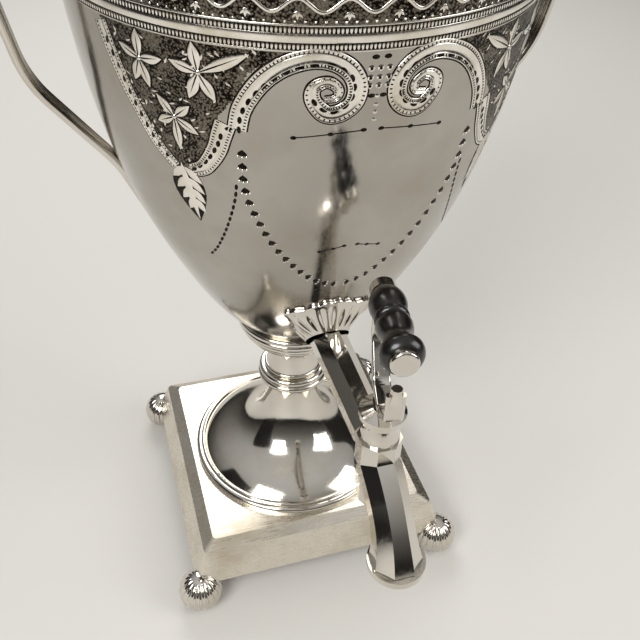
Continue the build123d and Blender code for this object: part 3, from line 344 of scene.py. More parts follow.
@dataclass(frozen=True)
class TurnedEbony(Finish):
    """Ebony turned on a lathe and waxed: near black, faint brown grain, a soft gloss."""

    dark: str = "#0C0A09"
    grain: str = "#2A1D15"
    grain_mm: float = 0.7
    grain_drawn_out: float = 0.08
    grain_starts: float = 0.5   # noise values between which the brown shows
    grain_full: float = 0.8
    relief: float = 0.08
    relief_mm: float = 0.2
    roughness: float = 0.3
    wax: float = 0.35
    wax_roughness: float = 0.12

    def pattern(self, tree: bpy.types.NodeTree) -> dict[str | int, object]:
        """Makes the grain, drawn out along the turned piece, under a coat of wax.

        Args:
            tree: the material's node tree.

        Returns:
            The surface shader's values and links.
        """
        place = add_node(tree, "ShaderNodeTexCoord").outputs["Object"]
        along = add_node(
            tree, "ShaderNodeMapping", {},
            {"Vector": place, "Scale": (1.0, self.grain_drawn_out, 1.0)},
        ).outputs["Vector"]
        grain = add_node(
            tree, "ShaderNodeTexNoise", {},
            {"Vector": along, "Scale": per_mm(self.grain_mm), "Detail": 6.0},
        ).outputs["Fac"]
        share = add_node(
            tree, "ShaderNodeMapRange", {},
            {"Value": grain, "From Min": self.grain_starts, "From Max": self.grain_full,
             "To Min": 0.0, "To Max": 1.0},
        ).outputs["Result"]
        colour = add_node(
            tree, "ShaderNodeMix", {"data_type": "RGBA"},
            {"Factor": share, MIX_FIRST: linear(self.dark), MIX_SECOND: linear(self.grain)},
        ).outputs[MIX_RESULT]
        bump = add_node(
            tree, "ShaderNodeBump", {},
            {"Height": grain, "Strength": self.relief, "Distance": self.relief_mm * MM},
        ).outputs["Normal"]
        return {"Base Color": colour, "Roughness": self.roughness, "Normal": bump,
                "Coat Weight": self.wax, "Coat Roughness": self.wax_roughness}


@dataclass(frozen=True)
class CastIron(Finish):
    """Grey cast iron, as the heater is: coarse skin from the sand mould, dull and dark."""

    skin: str = "#2B2927"
    rubbed: str = "#4A4541"
    sand_mm: float = 1.2
    relief: float = 0.5
    relief_mm: float = 0.4
    metallic: float = 0.8
    roughness: float = 0.62

    def pattern(self, tree: bpy.types.NodeTree) -> dict[str | int, object]:
        """Makes the sandy skin, lighter where it is rubbed.

        Args:
            tree: the material's node tree.

        Returns:
            The surface shader's values and links.
        """
        place = add_node(tree, "ShaderNodeTexCoord").outputs["Object"]
        sand = add_node(
            tree, "ShaderNodeTexNoise", {},
            {"Vector": place, "Scale": per_mm(self.sand_mm), "Detail": 5.0},
        ).outputs["Fac"]
        colour = add_node(
            tree, "ShaderNodeMix", {"data_type": "RGBA"},
            {"Factor": sand, MIX_FIRST: linear(self.skin), MIX_SECOND: linear(self.rubbed)},
        ).outputs[MIX_RESULT]
        bump = add_node(
            tree, "ShaderNodeBump", {},
            {"Height": sand, "Strength": self.relief, "Distance": self.relief_mm * MM},
        ).outputs["Normal"]
        return {"Base Color": colour, "Metallic": self.metallic, "Roughness": self.roughness,
                "Normal": bump}


@dataclass(frozen=True)
class MattPaper(Finish):
    """Plain paper or card of one colour, with no gloss, for the stage."""

    tone: str = "#D9D6D0"
    roughness: float = 0.9

    def pattern(self, tree: bpy.types.NodeTree) -> dict[str | int, object]:
        """Gives the paper's colour and roughness."""
        return {"Base Color": linear(self.tone), "Roughness": self.roughness}


@dataclass
class Finishes:
    """Every finish of the urn, made once and shared by its pieces."""

    polished: Material = field(default_factory=SilverPlate("polished_silver_plate").build)
    bright_cut: Material = field(default_factory=SilverPlate(
        "bright_cut_silver", clean="#F3EFE6", roughness_low=0.14, roughness_high=0.28,
        tarnish=0.5, cloud_mm=14.0,
    ).build)
    body: Material = field(default_factory=SilverPlate(
        "aged_body_silver", clean="#B3AFA8", bloom="#948A78", roughness_low=0.1,
        roughness_high=0.22, tarnish=0.5, cloud_mm=38.0,
    ).build)
    matted: Material = field(default_factory=MattedSilver("matted_silver_ground").build)
    pit: Material = field(default_factory=MattedSilver(
        "punched_recess", pit="#0E0C0A", land="#3A352D", grain_mm=0.5, roughness=0.5,
    ).build)
    satin: Material = field(default_factory=SatinSilver("rubbed_silver_plate").build)
    lining: Material = field(default_factory=SatinSilver(
        "tinned_lining", clean="#C9C6BE", bloom="#9C968A", roughness_low=0.32,
        roughness_high=0.5,
    ).build)
    nickel: Material = field(default_factory=SatinSilver(
        "nickel_silver_fastener", clean="#CFC9B8", bloom="#A79F88", roughness_low=0.24,
        roughness_high=0.4, cloud_mm=6.0,
    ).build)
    ebony: Material = field(default_factory=TurnedEbony("turned_ebony").build)
    iron: Material = field(default_factory=CastIron("cast_iron_heater").build)


def dress(names: Iterable[str], material: Material) -> None:
    """Gives CAD nodes a finish.

    Args:
        names: the nodes.
        material: the finish they all take.
    """
    for name in names:
        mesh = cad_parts[name].data
        mesh.materials.clear()
        mesh.materials.append(material)
        log.info("dressed %s in %s", name, material.name)


def new_piece(
    name: str,
    vertices: Sequence[Vector],
    faces: Sequence[Sequence[int]],
    material: Material,
) -> bpy.types.Object:
    """Makes one smooth mesh piece that rides on the urn's fixed body.

    Args:
        name: the piece's name.
        vertices: its points, in metres.
        faces: its faces, as point numbers.
        material: its finish.

    Returns:
        The new object.
    """
    mesh = bpy.data.meshes.new(name)
    mesh.from_pydata([tuple(v) for v in vertices], [], faces)
    mesh.materials.append(material)
    mesh.polygons.foreach_set("use_smooth", [True] * len(mesh.polygons))
    mesh.update()
    piece = bpy.data.objects.new(name, mesh)
    bpy.context.scene.collection.objects.link(piece)
    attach(piece, Body.ROOT.value)
    log.info("built %s with %d faces on %s", name, len(faces), Body.ROOT.value)
    return piece


@dataclass
class BodySurface:
    """The outside of the urn's body, which every cut and punch is laid on.

    The body is turned, so its radius at each height is measured once, at a bearing that is
    clear of the tap and the handles.
    """

    reference_mm: float = 87.0   # radius at which ornament is drawn out flat
    low_mm: float = 150.0
    high_mm: float = 342.0
    step_mm: float = 1.0
    bearing: float = 52.0        # degrees round the axis, where the radii are measured
    outside_mm: float = 200.0    # a place well outside the body
    end_gap: float = 0.001
    radii: list[float] = field(init=False)

    def __post_init__(self) -> None:
        """Measures the body's radius at each height."""
        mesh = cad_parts["urn_body"].data
        tree = BVHTree.FromPolygons(
            [v.co for v in mesh.vertices], [tuple(p.vertices) for p in mesh.polygons]
        )
        count = int((self.high_mm - self.low_mm) / self.step_mm) + 1
        bearing = math.radians(self.bearing)
        outward = Vector((math.cos(bearing), math.sin(bearing), 0.0))
        self.radii = []
        for i in range(count):
            start = outward * (self.outside_mm * MM)
            start.z = (self.low_mm + i * self.step_mm) * MM
            hit = tree.ray_cast(start, -outward)[0]
            self.radii.append(math.hypot(hit.x, hit.y) / MM)

    def radius(self, z: float) -> float:
        """Gives the body's outside radius at a height.

        Args:
            z: the height in mm.

        Returns:
            The radius in mm.
        """
        last = len(self.radii) - 1 - self.end_gap
        place = min(max((z - self.low_mm) / self.step_mm, 0.0), last)
        low = int(place)
        share = place - low
        return self.radii[low] * (1 - share) + self.radii[low + 1] * share

    def across(self, angle: float) -> float:
        """Turns degrees from the front into a distance at the reference radius."""
        return math.radians(angle) * self.reference_mm

    def point(self, across: float, z: float, lift: float, turn: float = 0.0) -> Vector:
        """Places a drawn point on the body.

        Args:
            across: distance to the right of the panel's middle, mm at the reference radius.
            z: height in mm.
            lift: how far it stands off the surface, mm.
            turn: degrees that the panel's middle is turned from the front.

        Returns:
            The place in metres.
        """
        slope = (self.radius(z + 1.0) - self.radius(z - 1.0)) / 2.0
        length = math.hypot(1.0, slope)
        radius = self.radius(z) + lift / length
        angle = math.radians(FRONT_ANGLE + turn) + across / self.reference_mm
        return Vector((
            radius * math.cos(angle), radius * math.sin(angle), z - lift * slope / length
        )) * MM


def strip_faces(spans: int, wide: int) -> list[tuple[int, ...]]:
    """Gives the faces of a strip of points.

    Args:
        spans: how many faces it has along it.
        wide: how many points it has across.

    Returns:
        The faces, as point numbers.
    """
    return [
        (i * wide + k, (i + 1) * wide + k, (i + 1) * wide + k + 1, i * wide + k + 1)
        for i in range(spans) for k in range(wide - 1)
    ]


def smooth_line(points: Sequence[Point2], step: float, closed: bool = False) -> list[Point2]:
    """Runs a smooth curve through drawn points and divides it evenly.

    Args:
        points: the points it goes through.
        step: distance between the points it gives, in mm.
        closed: whether it returns to its start.

    Returns:
        Evenly spaced points along the curve.
    """
    count = len(points)
    dense: list[Point2] = []
    spans = count if closed else count - 1
    for i in range(spans):
        if closed:
            before, start, end, after = (points[(i + k) % count] for k in (-1, 0, 1, 2))
        else:
            before, start, end, after = (
                points[min(max(i + k, 0), count - 1)] for k in (-1, 0, 1, 2)
            )
        for k in range(CURVE_STEPS):
            t = k / CURVE_STEPS
            dense.append(tuple(
                0.5 * (2 * b + (c - a) * t + (2 * a - 5 * b + 4 * c - d) * t * t
                       + (3 * b - a - 3 * c + d) * t ** 3)
                for a, b, c, d in zip(before, start, end, after)
            ))
    dense.append(points[0] if closed else points[-1])
    lengths = [0.0]
    for a, b in zip(dense, dense[1:]):
        lengths.append(lengths[-1] + math.dist(a, b))
    total = max(int(round(lengths[-1] / step)), 2)
    result: list[Point2] = []
    at = 0
    for k in range(total + 1):
        want = lengths[-1] * k / total
        while at < len(dense) - 2 and lengths[at + 1] < want:
            at += 1
        span = lengths[at + 1] - lengths[at]
        share = (want - lengths[at]) / span if span > 0 else 0.0
        result.append(tuple(
            a * (1 - share) + b * share for a, b in zip(dense[at], dense[at + 1])
        ))
    return result


@dataclass
class CutWork:
    """Gathers one kind of cut ornament as a single mesh laid on the body."""

    surface: BodySurface
    turns: tuple[float, ...] = (0.0, 180.0)    # the front panel, and its copy at the back
    mirrored: bool = True
    vertices: list[Vector] = field(default_factory=list)
    faces: list[tuple[int, ...]] = field(default_factory=list)

    def _lay(self, drawn: Sequence[Point3], faces: Sequence[Sequence[int]]) -> None:
        """Lays drawn points on each panel and its mirror half.

        Args:
            drawn: distance across, height and lift of each point, in mm.
            faces: the faces between them, as point numbers.
        """
        for turn in self.turns:
            for side in ((1, -1) if self.mirrored else (1,)):
                first = len(self.vertices)
                self.vertices += [
                    self.surface.point(x * side, z, lift, turn) for x, z, lift in drawn
                ]
                for face in faces:
                    ring = [first + i for i in face]
                    self.faces.append(tuple(ring if side == 1 else reversed(ring)))

    def ribbon(self, line: Sequence[Point2], half: Callable[[float], float],
               section: Sequence[Point2]) -> None:
        """Lays a strip along a line.

        Args:
            line: evenly spaced points.
            half: half the strip's width at a share of its length, from 0 to 1.
            section: across the strip, from -1 to 1, and the lift in mm at each.
        """
        drawn: list[Point3] = []
        last = len(line) - 1
        for i, (x, z) in enumerate(line):
            x0, z0 = line[max(i - 1, 0)]
            x1, z1 = line[min(i + 1, last)]
            run = math.hypot(x1 - x0, z1 - z0) or 1.0
            side = (-(z1 - z0) / run, (x1 - x0) / run)
            width = half(i / last)
            drawn += [
                (x + side[0] * place * width, z + side[1] * place * width, lift)
                for place, lift in section
            ]
        self._lay(drawn, strip_faces(last, len(section)))

    def petal(self, base: Point2, tip: Point2, width: float, rise: float,
              crease: float = 0.0, swell: float = 0.45, lift: float = 0.1) -> None:
        """Lays one pointed petal with a mid-vein.

        Args:
            base: where it starts.
            tip: its point.
            width: its full width in mm.
            rise: how far its two halves stand up from the edges.
            crease: how far the vein is cut down from them.
            swell: the share of its length at which it is widest.
            lift: how far its edges stand off the body.
        """
        length = math.dist(base, tip)
        along = ((tip[0] - base[0]) / length, (tip[1] - base[1]) / length)
        side = (-along[1], along[0])
        section = ((-1, 0.0), (-0.5, rise), (0, rise - crease), (0.5, rise), (1, 0.0))
        drawn: list[Point3] = []
        for i in range(PETAL_STEPS + 1):
            t = i / PETAL_STEPS
            bulge = math.sin(math.pi * t ** (math.log(0.5) / math.log(swell)))
            half = max(width / 2 * bulge, THINNEST)
            for place, height in section:
                drawn.append((
                    base[0] + along[0] * length * t + side[0] * half * place,
                    base[1] + along[1] * length * t + side[1] * half * place,
                    lift + height * bulge,
                ))
        self._lay(drawn, strip_faces(PETAL_STEPS, len(section)))

    def bead(self, centre: Point2, radius: float, rise: float, stretch: float = 1.0,
             lean: float = 0.0, lift: float = 0.05) -> None:
        """Lays a round or oval bead.

        Args:
            centre: its middle.
            radius: half its short width in mm.
            rise: how far its middle stands up.
            stretch: its length over its width.
            lean: degrees that its length is turned from level.
            lift: how far its edge stands off the body.
        """
        sides, rings = BEAD_SIDES, BEAD_RINGS
        turn = math.radians(lean)
        drawn: list[Point3] = []
        for r in range(rings):
            share = 1 - r / rings
            for s in range(sides):
                angle = 2 * math.pi * s / sides
                dx = radius * stretch * share * math.cos(angle)
                dz = radius * share * math.sin(angle)
                drawn.append((
                    centre[0] + dx * math.cos(turn) - dz * math.sin(turn),
                    centre[1] + dx * math.sin(turn) + dz * math.cos(turn),
                    lift + rise * (1 - share ** 2),
                ))
        drawn.append((centre[0], centre[1], lift + rise))
        faces: list[tuple[int, ...]] = []
        for r in range(rings - 1):
            for s in range(sides):
                n = (s + 1) % sides
                faces.append((r * sides + s, r * sides + n, (r + 1) * sides + n,
                              (r + 1) * sides + s))
        top = rings * sides
        faces += [((rings - 1) * sides + s, (rings - 1) * sides + (s + 1) % sides, top)
                  for s in range(sides)]
        self._lay(drawn, faces)

    def patch(self, low: Point2, high: Point2, inside: Callable[[float, float], bool],
              cell: float, lift: float) -> None:
        """Lays a skin over the part of the body where inside says so.

        Args:
            low: the lowest distance across and height.
            high: the highest distance across and height.
            inside: whether a drawn point is covered.
            cell: the size of its faces in mm.
            lift: how far it stands off the body.
        """
        columns = int((high[0] - low[0]) / cell)
        rows = int((high[1] - low[1]) / cell)
        index: dict[tuple[int, int], int] = {}
        drawn: list[Point3] = []
        faces: list[tuple[int, ...]] = []

        def corner(i: int, j: int) -> int:
            """Finds a corner of the grid, and adds it when it is new.

            Args:
                i: its column.
                j: its row.

            Returns:
                Its point number.
            """
            if (i, j) not in index:
                index[i, j] = len(drawn)
                drawn.append((low[0] + i * cell, low[1] + j * cell, lift))
            return index[i, j]

        for i in range(columns):
            for j in range(rows):
                if inside(low[0] + (i + 0.5) * cell, low[1] + (j + 0.5) * cell):
                    faces.append((corner(i, j), corner(i + 1, j), corner(i + 1, j + 1),
                                  corner(i, j + 1)))
        self._lay(drawn, faces)

    def finish(self, name: str, material: Material) -> None:
        """Makes the gathered work one piece with a name and a finish."""
        new_piece(name, self.vertices, self.faces, material)


@dataclass
class EngravedBorder:
    """The ladder band and the wave frieze that run round the body under the shoulder."""

    surface: BodySurface
    finishes: Finishes
    band_low: float = 308.4
    band_high: float = 315.6
    tick_height: float = 2.2
    tick_count: int = 440
    frieze_low: float = 316.2
    frieze_high: float = 328.0
    wave_middle: float = 321.6
    wave_height: float = 2.0
    wave_count: int = 38
    wave_half: float = 0.55
    wave_steps: int = 16
    ground_steps: int = 360
    tick_share: float = 0.3      # of the pitch, half a tick's width
    tick_length: float = 1.5
    tick_rise: float = 0.16
    fillet_gap: float = 0.25
    fillet_half: float = 0.3
    edge_beads: int = 5          # to each wave, along both edges
    edge_bead: float = 0.42
    edge_rise: float = 0.3
    edge_inset: float = 0.7
    sprig_drop: float = 1.6      # of the sprig's root from the wave's middle
    sprig_leans: tuple[float, ...] = (-1.5, 0.0, 1.5)
    sprig_length: float = 2.6
    sprig_droop: float = 0.5
    sprig_width: float = 1.0
    sprig_rise: float = 0.16

    def _all_round(self) -> CutWork:
        """Starts a piece that runs once round the body."""
        return CutWork(self.surface, turns=(0.0,), mirrored=False)

    def _ticks(self) -> None:
        """Builds the two rows of short upright cuts and the fillets beside them."""
        turn_round = 2 * math.pi * self.surface.reference_mm
        pitch = turn_round / self.tick_count
        bars, ground, strip = (self._all_round() for _ in range(3))
        rows = (self.band_low + self.tick_height / 2, self.band_high - self.tick_height / 2)
        circle = [pitch * k for k in range(self.tick_count + 1)]
        for z in rows:
            ground.ribbon([(x, z) for x in circle], lambda t: self.tick_height / 2,
                          ((-1, 0.04), (1, 0.04)))
            for x in circle[:-1]:
                bars.bead((x, z), pitch * self.tick_share, self.tick_rise,
                          stretch=self.tick_height / pitch * self.tick_length, lean=90.0)
        middle = (self.band_low + self.band_high) / 2
        plain = (self.band_high - self.band_low) / 2 - self.tick_height
        strip.ribbon([(x, middle) for x in circle], lambda t: plain,
                     ((-1, 0.0), (-0.8, 0.14), (0.8, 0.14), (1, 0.0)))
        for z in (self.band_low - self.fillet_gap, self.band_high + self.fillet_gap):
            strip.ribbon([(x, z) for x in circle], lambda t: self.fillet_half,
                         ((-1, 0.0), (0, 0.2), (1, 0.0)))
        ground.finish("ladder_band_ground", self.finishes.pit)
        bars.finish("ladder_band_ticks", self.finishes.bright_cut)
        strip.finish("ladder_band_fillets", self.finishes.bright_cut)

    def _frieze(self) -> None:
        """Builds the wave ribbon on its matted ground, with beads along both edges."""
        turn_round = 2 * math.pi * self.surface.reference_mm
        count = self.wave_count * self.wave_steps
        wave = [
            (turn_round * k / count, self.wave_middle
             + self.wave_height * math.sin(2 * math.pi * k / self.wave_steps))
            for k in range(count + 1)
        ]
        middle = (self.frieze_low + self.frieze_high) / 2
        circle = [(turn_round * k / self.ground_steps, middle)
                  for k in range(self.ground_steps + 1)]
        rise = (self.frieze_high - self.frieze_low) / 2
        ground, ribbon = self._all_round(), self._all_round()
        ground.ribbon(circle, lambda t: rise,
                      tuple((place / 3, 0.05) for place in range(-3, 4)))
        ground.finish("wave_frieze_ground", self.finishes.matted)
        ribbon.ribbon(wave, lambda t: self.wave_half,
                      ((-1, 0.05), (-0.75, 0.22), (0.75, 0.22), (1, 0.05)))
        beads = self.edge_beads * self.wave_count
        for k in range(beads):
            for z in (self.frieze_low + self.edge_inset, self.frieze_high - self.edge_inset):
                ribbon.bead((turn_round * k / beads, z), self.edge_bead, self.edge_rise)
        for k in range(self.wave_count):
            for quarter, up in ((0.25, -1), (0.75, 1)):
                x = turn_round * (k + quarter) / self.wave_count
                z = self.wave_middle + up * self.sprig_drop
                for lean in self.sprig_leans:
                    length = self.sprig_length - abs(lean) * self.sprig_droop
                    ribbon.petal((x, z), (x + lean, z + up * length), self.sprig_width,
                                 self.sprig_rise)
        ribbon.finish("wave_frieze_ribbon", self.finishes.bright_cut)

    def build(self) -> None:
        """Builds the whole border."""
        self._ticks()
        self._frieze()


def inside_outline(x: float, z: float, outline: Sequence[Point2]) -> bool:
    """Tells whether a drawn point lies inside a closed outline.

    Args:
        x: the point's distance across.
        z: its height.
        outline: the outline's corners, in the same units.

    Returns:
        Whether it lies inside.
    """
    inside = False
    for (x0, z0), (x1, z1) in zip(outline, [*outline[1:], outline[0]]):
        if (z0 > z) != (z1 > z) and x < (x1 - x0) * (z - z0) / (z1 - z0) + x0:
            inside = not inside
    return inside


@dataclass
class EngravedPanel:
    """One large panel of cut work, drawn for its left half and repeated as its mirror.

    The scrolls, sprays and swags frame a plain oval place. Lines are in degrees from the
    middle of the panel and heights in mm.
    """

    surface: BodySurface
    finishes: Finishes
    plain_strip: tuple[Point2, ...] = (
        (-1.0, 0.08), (-0.97, 0.26), (-0.9, 0.26), (-0.87, 0.14), (-0.52, 0.14), (-0.5, 0.24),
        (-0.44, 0.24), (-0.42, 0.16), (0.42, 0.16), (0.44, 0.24), (0.5, 0.24), (0.52, 0.14),
        (0.87, 0.14), (0.9, 0.26), (0.97, 0.26), (1.0, 0.08),
    )
    line_step: float = 0.62      # milling is two steps apart, coarser than the real 0.4 mm
    milled_middle: float = 0.695
    milled_share: float = 0.15
    upper_scroll: tuple[Point2, ...] = (
        (-10.9, 292.6), (-8.6, 293.2), (-8.2, 296.0), (-10.4, 298.4), (-13.0, 296.6),
        (-13.2, 292.4), (-10.6, 287.6), (-7.4, 287.8), (-4.8, 291.4), (-4.3, 296.6),
        (-5.8, 301.6), (-9.0, 305.0), (-13.2, 306.0), (-18.0, 304.0), (-22.0, 300.0),
        (-25.2, 294.4), (-27.8, 287.4), (-29.0, 280.2),
    )
    scroll_half: float = 3.1
    lower_scroll: tuple[Point2, ...] = (
        (-31.6, 281.4), (-32.9, 276.3), (-34.0, 271.6), (-35.8, 266.8), (-38.4, 262.0),
        (-41.6, 259.6),
    )
    side_border: tuple[Point2, ...] = (
        (-61.0, 306.0), (-59.0, 296.0), (-56.6, 286.0), (-54.0, 277.4), (-51.2, 268.6),
        (-48.4, 263.0), (-46.2, 259.4),
    )
    ground_outline: tuple[Point2, ...] = (
        (-61.0, 308.4), (-4.0, 308.4), (-13.0, 308.4), (-20.0, 306.0), (-26.0, 300.0),
        (-29.6, 290.0), (-33.0, 284.0), (-34.5, 277.0), (-36.2, 270.5), (-40.0, 264.0),
        (-45.0, 258.0), (-49.0, 263.0), (-54.0, 276.0), (-58.0, 290.0),
    )
    sprays: tuple[tuple[Point2, tuple[Point2, ...], float], ...] = (
        ((-36.5, 298.0), ((-37.3, 307.8), (-25.6, 306.2), (-42.9, 300.4), (-39.2, 288.5),
                          (-33.2, 289.0)), 3.9),
        ((-50.7, 297.9), ((-50.4, 307.6), (-44.6, 299.7), (-49.0, 288.4), (-53.0, 289.6),
                          (-56.0, 301.0)), 3.7),
        ((-43.8, 280.1), ((-47.6, 287.0), (-39.5, 285.5), (-48.6, 276.6), (-38.2, 275.2),
                          (-43.8, 267.2)), 3.4),
    )
    ovals: tuple[tuple[float, float, float], ...] = (
        (-13.1, 303.8, 0.0), (-15.9, 303.2, 12.0), (-18.5, 301.5, 30.0), (-20.9, 299.2, 42.0),
        (-22.9, 296.4, 52.0), (-24.6, 293.7, 58.0), (-26.2, 290.6, 64.0), (-27.5, 287.2, 72.0),
        (-28.3, 283.6, 82.0), (-28.6, 280.0, 90.0), (-30.9, 279.8, 8.0), (-32.9, 276.3, 78.0),
        (-33.7, 273.3, 74.0), (-34.8, 270.4, 66.0), (-36.1, 267.4, 60.0), (-37.5, 264.8, 54.0),
        (-39.2, 262.4, 46.0), (-41.0, 260.4, 36.0), (-9.9, 304.0, -14.0), (-7.4, 302.3, -42.0),
        (-5.6, 299.6, -72.0), (-5.0, 296.5, 90.0), (-5.3, 293.1, 70.0), (-6.5, 290.2, 48.0),
        (-8.7, 288.3, 20.0), (-11.0, 289.0, -24.0), (-12.9, 291.6, -60.0),
        (-59.9, 300.0, 76.0), (-58.9, 296.0, 76.0), (-57.8, 292.0, 76.0), (-56.8, 288.0, 74.0),
        (-55.8, 284.0, 73.0), (-54.8, 280.2, 72.0), (-53.7, 276.6, 71.0), (-52.6, 273.0, 70.0),
        (-51.4, 269.6, 66.0), (-50.0, 266.4, 60.0), (-48.2, 263.2, 54.0),
    )
    festoon: tuple[Point2, ...] = (
        (-28.3, 272.3), (-28.5, 266.3), (-28.7, 258.3), (-28.0, 251.0), (-26.8, 244.5),
        (-25.9, 241.4), (-24.1, 234.3), (-21.5, 226.8), (-18.1, 219.6), (-14.4, 213.4),
        (-9.6, 207.0), (-3.6, 203.4), (0.0, 203.0),
    )
    outer_festoon: tuple[Point2, ...] = (
        (-30.6, 256.0), (-31.2, 251.0), (-32.4, 245.0), (-33.9, 239.0), (-35.6, 233.2),
        (-37.8, 227.0), (-40.6, 220.6), (-44.4, 214.6),
    )
    ground_cell: float = 0.8
    ground_lift: float = 0.05
    coil_start: float = 0.3      # the scroll's width shrinks to this share in the roundel
    coil_growth: float = 2.4
    lower_half: float = 3.5
    lower_taper: float = 0.9
    border_half: float = 3.1
    border_taper: float = 0.8
    # how far the painted shadow under each scroll strip reaches past it, and its flat section
    shadow_margin: float = 0.5
    shadow_strip: tuple[Point2, ...] = ((-1, 0.07), (0, 0.07), (1, 0.07))
    stroke_half: float = 0.26
    stroke_rise: float = 0.02
    stroke_lift: float = 0.17
    vein_share: float = 0.8
    leaf_shadow_past: float = 0.8
    leaf_shadow_wider: float = 1.4
    small_leaves: int = 70
    small_leaf_across: Point2 = (-60.0, -8.0)
    small_leaf_heights: Point2 = (262.0, 307.0)
    small_leaf_lengths: Point2 = (1.6, 2.6)
    drop_line: tuple[Point2, ...] = ((-44.6, 262.0), (-43.0, 235.6))
    drop_shadow_past: float = 0.8
    lobe_spreads: tuple[float, ...] = (6.6, 6.2, 5.2, 3.8)
    lobe_start: float = 2.0
    lobe_pitch: float = 4.6
    lobe_fall: float = 6.0
    lobe_lean: float = 0.985
    husk_length: float = 3.2
    husk_spread: float = 0.5
    husk_width: float = 0.42     # of its length
    husk_pitch: float = 5.4
    chain_pitch: float = 3.4
    column_rows: tuple[float, ...] = (302.4, 299.3, 296.6)
    column_sides: tuple[float, ...] = (-1.9, 0.0, 1.9)
    column_beads: tuple[float, ...] = (293.0, 290.0, 287.3, 284.6)
    column_oval_sides: Point2 = (-1.25, 1.25)
    column_oval_heights: Point2 = (306.0, 293.2)
    rules: tuple[Point2, ...] = ((281.0, 17.0), (228.0, 9.0))   # height, and reach in degrees
    rule_start: float = 3.0
    rule_falls: Point2 = (0.9, 2.4)
    rule_step: float = 1.2
    rule_half: float = 0.22
    rule_strip: tuple[Point2, ...] = ((-1, 0.02), (0, 0.03), (1, 0.02))

    def _mm(self, line: Iterable[Point2]) -> list[Point2]:
        """Turns drawn degrees into distances across."""
        return [(self.surface.across(angle), z) for angle, z in line]

    def _ground(self) -> None:
        """Builds the matted ground between the ladder band and the scrolls."""
        outline = self._mm(self.ground_outline)
        low = (min(x for x, _ in outline), min(z for _, z in outline))
        high = (max(x for x, _ in outline), max(z for _, z in outline))
        ground = CutWork(self.surface)
        ground.patch(low, high, lambda x, z: inside_outline(x, z, outline),
                     self.ground_cell, self.ground_lift)
        ground.finish("vine_ground", self.finishes.matted)

    def _scrolls(self) -> None:
        """Builds the C scrolls and the side borders as strips with milled edges, each over a
        painted shadow.
        """
        upper = smooth_line(self._mm(self.upper_scroll), self.line_step)
        lower = smooth_line(self._mm(self.lower_scroll), self.line_step)
        border = smooth_line(self._mm(self.side_border), self.line_step)

        def coil_half(t: float) -> float:
            """Gives half the scroll's width, which shrinks into the roundel."""
            return self.scroll_half * min(1.0, self.coil_start + t * self.coil_growth)

        strips = (
            (upper, coil_half),
            (lower, lambda t: self.lower_half - self.lower_taper * t * t),
            (border, lambda t: self.border_half - self.border_taper * t),
        )
        ribbons, edges, shadows = (CutWork(self.surface) for _ in range(3))
        for line, half in strips:
            ribbons.ribbon(line, half, self.plain_strip)
            # a flat dark strip a little wider than each scroll strip, under it: painted shade along
            # its edges, in the punched recess finish
            shadows.ribbon(line, lambda t: half(t) + self.shadow_margin, self.shadow_strip)
            self._mill(edges, line, half)
        shadows.finish("scroll_painted_shadows", self.finishes.pit)
        ribbons.finish("scroll_ribbons", self.finishes.bright_cut)
        edges.finish("scroll_milling", self.finishes.pit)
        cuts = CutWork(self.surface)
        for angle, z, lean in self.ovals:
            cuts.bead((self.surface.across(angle), z), lean=lean, **SCROLL_OVAL)
        cuts.finish("scroll_oval_cuts", self.finishes.pit)

    def _mill(self, edges: CutWork, line: Sequence[Point2],
              half: Callable[[float], float]) -> None:
        """Cuts the short dark strokes of milling along both edges of a strip.

        Args:
            edges: gathers the strokes.
            line: the strip's middle, evenly spaced.
            half: half the strip's width at a share of its length.
        """
        last = len(line) - 1
        for i in range(1, last, 2):
            (x0, z0), (x1, z1) = line[i - 1], line[i + 1]
            run = math.hypot(x1 - x0, z1 - z0)
            side = (-(z1 - z0) / run, (x1 - x0) / run)
            lean = math.degrees(math.atan2(side[1], side[0]))
            width = half(i / last)
            for way in (-1, 1):
                reach = way * self.milled_middle * width
                centre = (line[i][0] + side[0] * reach, line[i][1] + side[1] * reach)
                edges.bead(centre, self.stroke_half, self.stroke_rise,
                           stretch=self.milled_share * width / self.stroke_half, lean=lean,
                           lift=self.stroke_lift)

    def _sprays(self) -> None:
        """Builds the leaf sprays, with a painted shadow under each leaf, and small leaves between.
        """
        leaves, shadows, veins = (CutWork(self.surface) for _ in range(3))
        for centre, tips, width in self.sprays:
            middle = self._mm([centre])[0]
            for tip in self._mm(tips):
                reach = math.dist(middle, tip)
                vein_end, beyond = (
                    tuple(m + (t - m) * share for m, t in zip(middle, tip))
                    for share in (self.vein_share, (reach + self.leaf_shadow_past) / reach)
                )
                leaves.petal(middle, tip, width, **LEAF)
                veins.petal(middle, vein_end, **VEIN)
                # a flat dark petal a little longer and wider than the leaf, under it: painted shade
                # round its edges
                shadows.petal(middle, beyond, width + self.leaf_shadow_wider, **LEAF_SHADOW)
            leaves.bead(middle, **SPRAY_HEART)
        scatter = random.Random(SEED)
        outline = self._mm(self.ground_outline)
        across = [self.surface.across(angle) for angle in self.small_leaf_across]
        grown = 0
        while grown < self.small_leaves:
            x = scatter.uniform(*across)
            z = scatter.uniform(*self.small_leaf_heights)
            if inside_outline(x, z, outline):
                lean = scatter.uniform(0.0, 2 * math.pi)
                length = scatter.uniform(*self.small_leaf_lengths)
                tip = (x + length * math.cos(lean), z + length * math.sin(lean))
                leaves.petal((x, z), tip, **SMALL_LEAF)
                grown += 1
        shadows.finish("leaf_painted_shadows", self.finishes.pit)
        veins.finish("leaf_veins", self.finishes.pit)
        leaves.finish("leaf_sprays", self.finishes.bright_cut)

